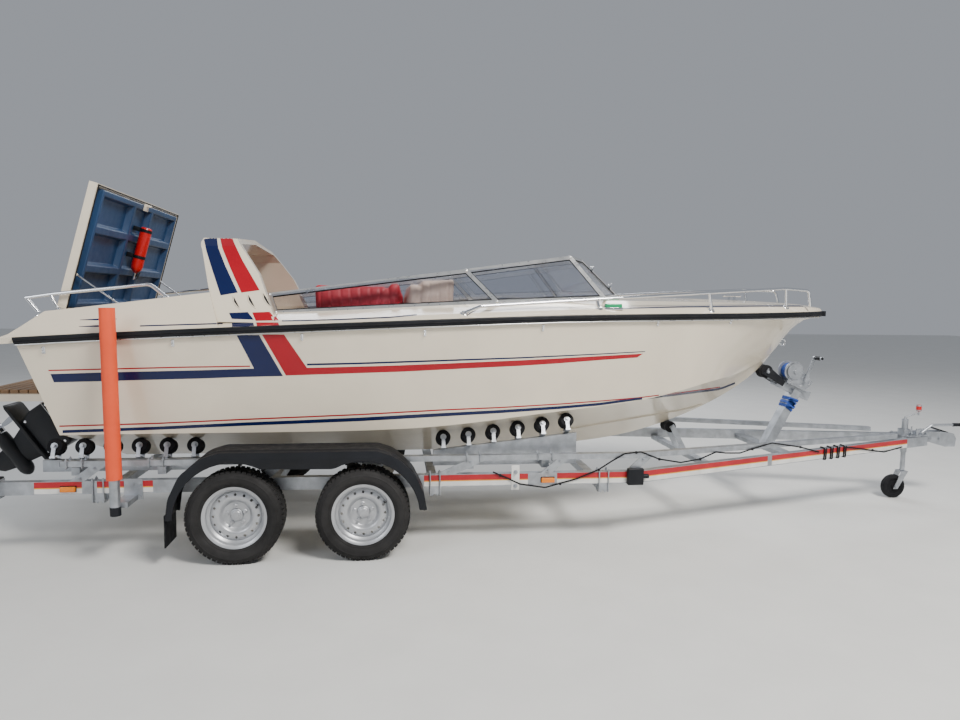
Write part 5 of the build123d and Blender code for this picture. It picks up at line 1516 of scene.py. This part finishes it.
blades = []
for k in range(blade_count):
    turned_blade = blade()
    turned_blade.transform(Matrix.Rotation(2 * math.pi * k / blade_count, 4, "X"))
    turned_blade.transform(Matrix.Translation((0, 0, shaft_z)))
    blades.append(turned_blade)
screw_hub_profile = [(0.0122, 0.0), (0.044, 0.0), (0.0478, 0.006), (0.0478, 0.070), (0.044, 0.084),
                     (0.036, 0.0895), (0.0122, 0.0895)]
hub_cast = lathe(screw_hub_profile, along((hub_x, 0, shaft_z), (-1, 0, 0)), 48)
fit("propeller_casting", moved(gathered([hub_cast, *blades]), raised), stainless, "screw", 40,
    stands_for=["propeller"])

# %% [markdown]
# The hull rests on two dozen ribbed rubber rollers. A ray sent up from the ground finds
# the hull over each one, so every roller takes the slope of the bottom that it carries.

# %% Ribbed rollers under the hull
roller_radius = 0.050
roller_half = 0.038
cradle_middles = (-1.144, 1.345)
rollers_a_side = 6
roller_pitch = 0.172
roller_y = 0.640
roller_drop = 0.0512
bottom_end, slope_span = -1.360, 0.200


def above(x, y):
    # Height of the hull's bottom, carried on in a straight line behind the transom
    def met(at):
        spot, _, _, _ = hull_skin.ray_cast(place(at, y, 0), Vector((0, 0, 1)))
        return spot.z

    if x >= bottom_end:
        return met(x)
    slope = (met(bottom_end + slope_span) - met(bottom_end)) / slope_span
    return met(bottom_end) + slope * (x - bottom_end)


def ribbed(radius, half, ribs):
    groove, bore = 0.004, 0.012
    profile = [(bore, -half), (radius * 0.84, -half), (radius * 0.95, -half + 0.003)]
    pitch = 2 * (half - 0.005) / ribs
    for i in range(ribs):
        start = -half + 0.005 + i * pitch
        profile += [(radius, start + pitch * 0.10), (radius, start + pitch * 0.72),
                    (radius - groove, start + pitch * 0.80), (radius - groove, start + pitch * 0.98)]
    profile += [(radius * 0.95, half - 0.003), (radius * 0.84, half), (bore, half)]
    return profile


rubber_rolls, roller_ends = [], []
for cradle_x in cradle_middles:
    for i in range(rollers_a_side):
        x = cradle_x + (i - (rollers_a_side - 1) / 2) * roller_pitch
        for side in (-1, 1):
            lean = math.atan2(above(x, roller_y + 0.060) - above(x, roller_y - 0.060), 0.120)
            centre = place(x, side * (roller_y + roller_radius * math.sin(lean)),
                           above(x, roller_y) - roller_drop * math.cos(lean))
            axis = Vector((0, math.cos(lean), side * math.sin(lean)))
            matrix = along(centre, axis)
            rubber_rolls.append(lathe(ribbed(roller_radius, roller_half, 6), matrix, 36))
            for end in (-1, 1):
                stub = along(centre + axis * end * roller_half, axis * end)
                roller_ends.append(lathe([(0.010, -0.001), (0.021, -0.001), (0.021, 0.0035),
                                          (0.010, 0.0045)], stub, 20))
                nut = along(centre + axis * end * (roller_half + 0.011), axis * end)
                bolt = hex_bolt(0.017, 0.007, 0.022)
                bolt.transform(nut)
                roller_ends.append(bolt)

# The keel roller and the bow roller are waisted, so that the keel runs in their middle
keel_profile = [(0.012, -0.062), (0.040, -0.062), (0.045, -0.056), (0.045, -0.040), (0.037, -0.012),
                (0.037, 0.012), (0.045, 0.040), (0.045, 0.056), (0.040, 0.062), (0.012, 0.062)]
bow_profile = [(0.011, -0.046), (0.048, -0.046), (0.054, -0.040), (0.054, -0.022), (0.046, -0.008),
               (0.046, 0.008), (0.054, 0.022), (0.054, 0.040), (0.048, 0.046), (0.011, 0.046)]
keel_roller_at = place(2.800, 0, above(2.800, 0) - 0.048)
bow_roller_at = place(3.612, 0, 1.090)
for profile, at in ((keel_profile, keel_roller_at), (bow_profile, bow_roller_at)):
    rubber_rolls.append(lathe(profile, along(at, (0, 1, 0)), 40))
fit("ribbed_rollers", gathered(rubber_rolls), rubber, stands_for=["hull_rollers"])
fit("roller_end_caps", gathered(roller_ends), galvanised)

# %% [markdown]
# The rails carry a band of tape, crimson over yellow over white, with gaps where
# brackets are bolted on. Hexagon bolts hold the gussets, and U-bolts hold the cradles.

# %% Tape and bolts of the trailer frame
rail_face = 0.860
rail_low, rail_high = 0.408, 0.490
rail_bend_x, nose_x = 2.250, 5.060
bend_y, nose_y, arm_half = 0.835, 0.062, 0.025
nose_low, nose_high = 0.466, 0.544
# Each band: its name, the low and high share of the rail's height, its colour and its roughness
tape_bands = [
    ("crimson", 0.52, 0.96, (0.42, 0.010, 0.018), 0.34),
    ("yellow", 0.44, 0.515, (0.78, 0.36, 0.03), 0.34),
    ("white", 0.06, 0.435, (0.72, 0.71, 0.68), 0.36),
]
tape_lift = 0.0006


def on_rail(px, py, y=-rail_face):
    # The place where the line of sight meets a fore-and-aft plane
    look = sight(px, py)
    return camera_place + look * ((y - camera_place.y) / look.y)


def rail_outline(x):
    # Outer face, low and high edge of the lower rail at a distance ahead of the axles
    if x <= rail_bend_x:
        return rail_face, rail_low, rail_high
    share = (x - rail_bend_x) / (nose_x - rail_bend_x)
    y = bend_y + (nose_y - bend_y) * share + arm_half
    return y, rail_low + (nose_low - rail_low) * share, rail_high + (nose_high - rail_high) * share


def tape(x0, x1, low_share, high_share):
    points, faces = [], []
    count = max(2, int((x1 - x0) / 0.25) + 2)
    for i in range(count):
        x = x0 + (x1 - x0) * i / (count - 1)
        y, low, high = rail_outline(x)
        for share in (low_share, high_share):
            points.append(place(x, -(y + tape_lift), low + (high - low) * share))
    for i in range(count - 1):
        faces.append((2 * i, 2 * i + 2, 2 * i + 3, 2 * i + 1))
    return mesh_of(points, faces)


tape_runs = [(on_rail(34, 488).x, on_rail(82, 488).x), (on_rail(97, 488).x, on_rail(153, 486).x),
             (on_rail(424, 480).x, on_rail(528, 478).x), (on_rail(557, 478).x, place(2.245, 0, 0).x)]
tape_runs = [(a - axle_middle, b - axle_middle) for a, b in tape_runs]
tape_runs += [(2.255, 3.36), (3.40, 4.82)]
for name, low_share, high_share, colour, roughness in tape_bands:
    tape_finish = plain("tape_" + name, colour, roughness, mottle=0.10, grain=0.0001, wear_scale=9.0)
    bands = [tape(x0, x1, low_share, high_share) for x0, x1 in tape_runs]
    fit("rail_tape_" + name, both_sides(bands), tape_finish)
tape_white = tape_finish

# Each gusset: its foot, the width of the foot, and how far it leans forward
gussets = [(-1.420, 0.090, 0.120), (-0.300, 0.090, 0.110), (0.850, 0.130, 0.200), (1.560, 0.080, 0.110),
           (2.150, 0.080, 0.100)]
gusset_height = 0.090
gusset_spots, rail_spots = [], []
for foot_x, foot_width, lean in gussets:
    for share in (0.14, 0.86):
        x = foot_x + foot_width / 2 + lean * share
        gusset_spots.append((place(x, -rail_face, rail_high + gusset_height * share), Vector((0, -1, 0))))
bolt_mesh = hex_bolt(0.017, 0.009, 0.026, 0.007)
for x in (-1.250, 0.850, 2.000):
    for dx in (-0.018, 0.018):
        rail_spots.append((place(x + dx, -rail_face + 0.022, 0.358), Vector((0, 0, -1))))
bolts = on_points(bolt_mesh, gusset_spots + rail_spots, galvanised)
fit("frame_bolts", both_sides([bolts]), galvanised)


def u_bolt(x, low, high, y_in, y_out):
    path = bent([(x, -y_in, high), (x, -y_in, low), (x, -y_out, low), (x, -y_out, high)], 0.010)
    path = [place(*p) for p in path]
    legs = [swept(path, 0.005, 10)]
    for y in (y_in, y_out):
        nut = hex_bolt(0.015, 0.008, 0.020, 0.010)
        nut.transform(along(place(x, -y, high - 0.012), (0, 0, 1)))
        legs.append(nut)
    return legs


u_bolts = []
upper_rail_bolts = (-1.432, -1.340, -0.945, -0.860, 1.060, 1.150, 1.545, 1.640)
lower_rail_bolts = (-1.282, -1.218, 0.818, 0.882, 1.968, 2.032)
for places, low, high in ((upper_rail_bolts, 0.574, 0.628), (lower_rail_bolts, 0.352, 0.502)):
    for x in places:
        u_bolts.extend(u_bolt(x, low, high, 0.804, 0.866))
fit("frame_u_bolts", both_sides(u_bolts), galvanised)
end_caps = [rounded(place(-1.834, -0.858, 0.410), place(-1.8295, -0.812, 0.488), 0.001),
            rounded(place(-1.474, -0.858, 0.582), place(-1.4695, -0.812, 0.614), 0.001)]
fit("rail_end_caps", both_sides(end_caps), black_plastic)

# %% White clamp plate
plate_low, plate_high = on_rail(511, 489.5), on_rail(519.5, 465)
plate_face = -rail_face - 0.008
clamp_plate = block((plate_low.x, plate_face, plate_low.z), (plate_high.x, -rail_face - 0.0005, plate_high.z))
fit("clamp_plate", worked(clamp_plate, bevel=0.003), tape_white)
plate_mid = (plate_low.x + plate_high.x) / 2
plate_bolts = []
for share in (0.16, 0.72):
    z = plate_low.z + share * (plate_high.z - plate_low.z)
    plate_bolts.append((Vector((plate_mid, plate_face, z)), Vector((0, -1, 0))))
fit("clamp_plate_bolts", on_points(hex_bolt(0.019, 0.011, 0.030, 0.010), plate_bolts, galvanised),
    galvanised)

# %% [markdown]
# The winch sits on the sloping head of its post. Its gear, bolts and the black grip of
# its crank are added to the plain body, and the blue strap is wound on the drum. The
# end of the strap is wrapped a few turns round the post.

# %% Winch, its strap and the mount of the bow roller
winch_x, winch_z = 3.845, 1.092
gear_teeth, gear_radius, tooth_height = 32, 0.066, 0.004
starboard = Vector((0, -1, 0))


def gear(y0, y1):
    outline = []
    for k in range(gear_teeth * 4):
        angle = 2 * math.pi * k / (gear_teeth * 4)
        r = gear_radius if k % 4 in (0, 1) else gear_radius - tooth_height
        outline.append((winch_x + axle_middle + r * math.cos(angle), winch_z + r * math.sin(angle)))
    return pushed(outline, y0, y1)


gear_boss = rod(place(winch_x, -0.082, winch_z), place(winch_x, -0.060, winch_z), 0.017, 24, 0.002)
fit("winch_gear", gathered([gear(-0.0705, -0.0605), gear_boss]), galvanised)
winch_bolts = [(-0.030, -0.085), (0.060, -0.115), (0.110, -0.150), (0.130, -0.100), (0.050, -0.005)]
winch_spots = [(place(winch_x + dx, -0.0592, winch_z + dz), starboard) for dx, dz in winch_bolts]
winch_bolt = hex_bolt(0.014, 0.007, 0.022, 0.005)
fit("winch_bolts", both_sides([on_points(winch_bolt, winch_spots, stainless)]), stainless)
grip_profile = [(0, 0), (0.013, 0), (0.0165, 0.006), (0.0150, 0.020), (0.0168, 0.045), (0.0160, 0.075),
                (0.0125, 0.092), (0, 0.094)]
crank_grip = lathe(grip_profile, along(place(3.995, -0.098, 1.208), starboard), 28, closed=False)
fit("winch_grip", crank_grip, black_plastic)

# The roll on the drum: a solid core, and outer turns whose edges are a little uneven
drum_inner, drum_outer, strap_half = 0.0405, 0.0580, 0.0435
strap_thick, outer_turns = 0.0008, 5
core = [(drum_inner, -strap_half), (drum_outer, -strap_half), (drum_outer, strap_half),
        (drum_inner, strap_half)]
strap_turns = [lathe(core, along(place(winch_x, 0, winch_z), (0, 1, 0)), 48)]
for k in range(outer_turns):
    radius = 0.0585 + 0.0012 * k
    y = strap_half - 0.001 * (k % 2)
    turn_profile = [(radius - strap_thick, -y), (radius, -y), (radius, y), (radius - strap_thick, y)]
    strap_turns.append(lathe(turn_profile, along(place(winch_x + 0.0008 * k, 0, winch_z), (0, 1, 0)), 48))
fit("strap_on_drum", gathered(strap_turns), blue_webbing)
mount_side = [(3.560, 1.078), (3.640, 1.118), (3.770, 1.012), (3.745, 0.970)]
mount_outline = [(x + axle_middle, z) for x, z in mount_side]
mount_y, mount_half = 0.058, 0.0025
mount = [worked(pushed(mount_outline, side * mount_y - mount_half, side * mount_y + mount_half), bevel=0.001)
         for side in (-1, 1)]
fit("bow_roller_mount", gathered(mount), black_plastic)
axle_spots = [(place(3.612, side * 0.061, 1.090), Vector((0, side, 0))) for side in (-1, 1)]
axle_nut = hex_bolt(0.019, 0.009, 0.028, 0.006)
fit("bow_roller_nuts", on_points(axle_nut, axle_spots, galvanised), galvanised)

# %% Strap turns round the winch post
post_low, post_high = place(3.650, 0, 0.470), place(3.890, 0, 0.930)
post_way = (post_high - post_low).normalized()
post_across = post_way.cross(Vector((0, 1, 0)))
post_half_x, post_half_y = 0.035, 0.045
first_wrap, wrap_pitch, wrap_count, wrap_slant = 0.690, 0.031, 6, 0.007
wrap_corners = [(-1, -1), (1, -1), (1, 1), (-1, 1), (-1, -1), (1, -1)]
post_wraps = []
for k in range(wrap_count):
    at = post_low + (post_high - post_low) * (first_wrap + wrap_pitch * k)
    proud = 0.0022 + 0.0026 * (k % 3)
    slant = wrap_slant * (1 - k % 2 * 2)
    half_x, half_y = post_half_x + proud, post_half_y + proud
    ring = [at + post_across * a * half_x + Vector((0, b * half_y, 0)) + post_way * slant * a
            for a, b in wrap_corners]
    post_wraps.append(swept(bent(ring, 0.006), 0, flat=(0.0012, 0.0115)))
fit("strap_on_post", gathered(post_wraps), blue_webbing, stands_for=["winch_strap"])

# %% [markdown]
# Round the coupling there are many small fittings: the bolts of the head, the grip of
# the handbrake, the pad of the handle that locks the ball, and the brake's ratchet.

# %% Coupling and handbrake
grip_radius, grip_waist, grip_length = 0.0155, 0.0140, 0.118
grip_ribs, grip_pitch = 7, 0.0145
grip_rings = [(0, 0), (0.0125, 0), (grip_radius, 0.003)]
for k in range(grip_ribs):
    start = grip_pitch * k
    grip_rings += [(grip_radius, 0.008 + start), (grip_waist, 0.012 + start), (grip_waist, 0.016 + start)]
grip_rings += [(grip_radius, 0.112), (0.0120, grip_length), (0, grip_length)]
brake_grip = lathe(grip_rings, along(place(5.300, -0.066, 0.637), (1, 0, 0)), 28, closed=False)
fit("handbrake_grip", brake_grip, black_plastic)
head_spots = [(place(x, y, 0.554), Vector((0, 0, 1))) for x in (5.012, 5.064) for y in (-0.062, 0.062)]
head_spots += [(place(x, side * 0.042, 0.520), Vector((0, side, 0))) for x in (5.120, 5.200)
               for side in (-1, 1)]
head_bolt = hex_bolt(0.019, 0.010, 0.028, 0.006)
fit("coupling_bolts", on_points(head_bolt, head_spots, galvanised), galvanised)
pad_side = [(5.155, 0.600), (5.300, 0.557), (5.304, 0.567), (5.160, 0.611)]
pad_outline = [(x + axle_middle, z) for x, z in pad_side]
handle_pad = worked(pushed(pad_outline, -0.0225, 0.0225), bevel=0.004)
fit("coupling_handle_pad", handle_pad, black_plastic)
ratchet_teeth, ratchet_start, ratchet_step = 9, 20, 13
ratchet = []
for k in range(ratchet_teeth):
    angle = math.radians(ratchet_start + ratchet_step * k)
    x, z = 5.018 + 0.052 * math.cos(angle), 0.560 + 0.040 * math.sin(angle)
    ratchet.append((place(x, -0.0585, z), starboard))
tooth = rod((0, 0, 0), (0, 0, 0.003), 0.004, 8)
fit("brake_ratchet", on_points(tooth, ratchet, galvanised), galvanised)

# %% [markdown]
# The jockey wheel is held by a clamp with a pinch bolt, whose long handle can be turned
# by hand. Its tube has a collar at the top, and its crank ends in a red knob.

# %% Jockey clamp, knob and axle
jockey_x = 4.912
clamp_spots = []
for side in (-1, 1):
    for x in (4.862, 4.955):
        clamp_spots.append((place(x, side * 0.088, rail_outline(x)[2] + 0.0085), Vector((0, 0, 1))))
clamp_bolt = hex_bolt(0.017, 0.009, 0.026, 0.005)
fit("clamp_bolts", on_points(clamp_bolt, clamp_spots, galvanised), galvanised)
handle = [rod(place(4.930, -0.040, 0.566), place(4.930, -0.064, 0.566), 0.008, 18, 0.001),
          rod(place(4.930, -0.058, 0.500), place(4.930, -0.058, 0.628), 0.0055, 14, 0.002)]
fit("clamp_handle", gathered(handle), galvanised)
knob_profile = [(0, 0.046), (0.017, 0.046), (0.0205, 0.050), (0.0212, 0.060), (0.0212, 0.088),
                (0.0200, 0.098), (0.015, 0.1012), (0, 0.102)]
knob = lathe(knob_profile, along(place(jockey_x + 0.120, 0, 0.700), (0, 0, 1)), 28, closed=False)
fit("jockey_knob_cover", knob, red_paint, "jockey_post")
collar_profile = [(0.0242, 0), (0.0262, 0), (0.0262, 0.010), (0.0242, 0.010)]
collar = lathe(collar_profile, along(place(jockey_x, 0, 0.668), (0, 0, 1)), 32)
fit("jockey_tube_collar", collar, galvanised, "jockey_post")
wheel_nuts = [(place(4.832, side * 0.0432, 0.100), Vector((0, side, 0))) for side in (-1, 1)]
wheel_nuts = on_points(hex_bolt(0.013, 0.005, 0.020), wheel_nuts, galvanised)
fit("jockey_axle_nuts", wheel_nuts, galvanised, "jockey_caster")

# %% [markdown]
# Amber side markers sit on the lower rails in black holders, and a long lamp stands on
# the end of each rail: an amber field outside, then a clear one between two reds.

# %% Lamps and reflectors of the trailer
red_field = plain("red_field", (0.55, 0.012, 0.016), 0.16, mottle=0.05, grain=0.0008, grain_scale=160)
clear_field = plain("clear_field", (0.70, 0.70, 0.70), 0.14, mottle=0.04, grain=0.0008, grain_scale=160)
marker_places = (-1.425, 1.610)
lens_aft, lens_front, lens_low, lens_high = -1.880, -1.850, 0.386, 0.502
holders, amber_parts, red_parts, clear_parts = [], [], [], []
for x in marker_places:
    holders.append(rounded(place(x - 0.048, -0.8655, 0.422), place(x + 0.048, -0.8605, 0.462), 0.002))
    amber_parts.append(rounded(place(x - 0.045, -0.882, 0.4255), place(x + 0.045, -0.8650, 0.4585), 0.005, 3))
lamp_fields = [(-0.948, -0.905, amber_parts), (-0.903, -0.860, red_parts), (-0.858, -0.830, clear_parts),
               (-0.828, -0.772, red_parts)]
for y0, y1, group in lamp_fields:
    group.append(rounded(place(lens_aft, y0, lens_low), place(lens_front, y1, lens_high), 0.005, 3))
holders.append(rounded(place(-1.868, -0.950, 0.379), place(-1.8385, -0.770, 0.509), 0.004))
fit("lamp_holders", both_sides(holders), black_plastic, stands_for=["trailer_lamps"])
fit("amber_lenses", both_sides(amber_parts), amber)
fit("red_lenses", both_sides(red_parts), red_field)
fit("clear_lenses", both_sides(clear_parts), clear_field)

# %% [markdown]
# The guide posts lean a little aft. Their orange sleeves end in a lip at the top, a
# black foot closes the tube below, and a bolted plate holds each post to the rail.

# %% Trim of the guide posts
guide_y = 1.062
guide_way = (-0.0097, 0, 1)
lip_profile = [(0.0310, -0.030), (0.0440, -0.006), (0.0445, 0.0), (0.0400, 0.0012), (0.0315, -0.004)]
foot_profile = [(0.0302, 0), (0.0312, 0.001), (0.0312, 0.052), (0.0302, 0.053)]
post_bolts = [(-1.035, 0.388), (-1.035, 0.470), (-1.000, 0.388), (-1.000, 0.470)]
post_trims, feet, post_spots = [], [], []
for side in (-1, 1):
    y = side * guide_y
    post_trims.append(lathe(lip_profile, along(place(-1.087, y, 1.570), guide_way), 40))
    feet.append(lathe(foot_profile, along(place(-1.075, y, 0.3295), guide_way), 36))
    feet.append(rod(place(-1.075, y, 0.3285), place(-1.075, y, 0.3305), 0.031, 32, 0.0005))
    post_spots += [(place(x, side * 0.868, z), Vector((0, side, 0))) for x, z in post_bolts]
fit("sleeve_lips", gathered(post_trims), orange)
fit("post_feet", gathered(feet), black_plastic)
fit("post_plate_bolts", on_points(bolt_mesh, post_spots, galvanised), galvanised)

# %% Screws of the platform's slats
slat_count, slat_gap = 8, 0.008
screw_rows = (-0.500, -0.170, 0.170, 0.500)
platform_low, platform_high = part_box("platform_slats")
slat_pitch = (platform_high.x - platform_low.x + slat_gap) / slat_count
slat_screws = []
for i in range(slat_count):
    x = platform_low.x + slat_pitch * (i + 0.5) - slat_gap / 2
    for y in screw_rows:
        slat_screws.append((Vector((x, y, platform_high.z)), Vector((0, 0, 1))))
slat_screw = rod((0, 0, 0), (0, 0, 0.0006), 0.005, 10)
fit("slat_plugs", on_points(slat_screw, slat_screws, stainless), stainless)

# %% [markdown]
# The wiring runs along the outside of the starboard rail in a black sleeve, is held by
# clips, and is wound a few turns round the drawbar just behind the coupling. Its route
# is read off the photograph in pixels.

# %% Wiring on the drawbar
cable_radius = 0.0052
cable_sides = 10
turn_count = 4
arm_width = 0.050


def on_arm(px, py, off=0.007):
    # The place on the outer face of the drawn-in rail, found by walking along its slant
    y = 0.6
    for _ in range(12):
        spot = on_rail(px, py, -(y + off))
        y = rail_outline(spot.x - axle_middle)[0]
    return spot


cable_pixels = [
    (493, 472), (507, 478), (520, 484), (545, 487.5), (577, 478.6), (598.6, 469.6), (612, 461), (625, 453.6),
    (641, 451.8), (659, 459), (680.7, 462.5), (700, 459), (716, 452), (726, 453), (740, 453), (752, 449),
    (772, 443), (800, 447), (819, 452),
]
tail_pixels = [(846, 447), (862, 449), (884, 452), (902, 447)]
cables = []
for run in (cable_pixels, tail_pixels):
    route = [on_arm(px, py) for px, py in run]
    cables.append(swept(bent(route, 0.05), cable_radius, cable_sides))
for k in range(turn_count):
    # Each turn goes round the four corners of the drawbar and on to the next, and drifts forward
    x = on_arm(824 + 6.5 * k, 456).x - axle_middle
    y_out, low, high = rail_outline(x)
    gap = cable_radius + 0.0008
    outer_y, inner_y = y_out + gap, y_out - arm_width - gap
    corners = [(outer_y, low - gap), (outer_y, high + gap), (inner_y, high + gap), (inner_y, low - gap)]
    path = [place(x + 0.004 * i, -y, z) for i, (y, z) in enumerate(corners + corners[:2])]
    cables.append(swept(bent(path, 0.012), cable_radius, cable_sides))
fit("drawbar_wiring", gathered(cables), rubber)

# %% Clips, plug and strap of the wiring
clip_pixels = [(500, 475), (560, 483.5), (598.6, 469.6), (636, 452.3), (659, 459), (700, 459), (752, 449),
               (800, 447), (872, 450)]
clips = []
for px, py in clip_pixels:
    at = on_arm(px, py, 0.0)
    clips.append(rounded((at.x - 0.007, at.y - 0.0125, at.z - 0.0085),
                         (at.x + 0.007, at.y + 0.001, at.z + 0.0085), 0.002))
plug_low, plug_high = on_arm(626, 484, 0.0), on_arm(642, 467, 0.0)
plug_y = min(plug_low.y, plug_high.y)
clips.append(rounded((plug_low.x, plug_y - 0.040, plug_low.z), (plug_high.x, plug_y - 0.002, plug_high.z),
                     0.008, 3))
neck_z = (plug_low.z + plug_high.z) / 2
clips.append(rod((plug_high.x - 0.004, plug_y - 0.020, neck_z), (plug_high.x + 0.040, plug_y - 0.020, neck_z),
                 0.016, 24, 0.004))
strap_x = on_arm(881, 450).x - axle_middle
y_out, low, high = rail_outline(strap_x)
outer_y, inner_y = y_out + 0.003, y_out - arm_width - 0.003
loop = [place(strap_x, -y, z) for y, z in ((outer_y, low - 0.003), (outer_y, high + 0.003),
                                           (inner_y, high + 0.003), (inner_y, low - 0.003),
                                           (outer_y, low - 0.003), (outer_y, low + 0.02))]
clips.append(swept(bent(loop, 0.006), 0, flat=(0.0016, 0.017)))
fit("wiring_clips", gathered(clips), black_plastic)
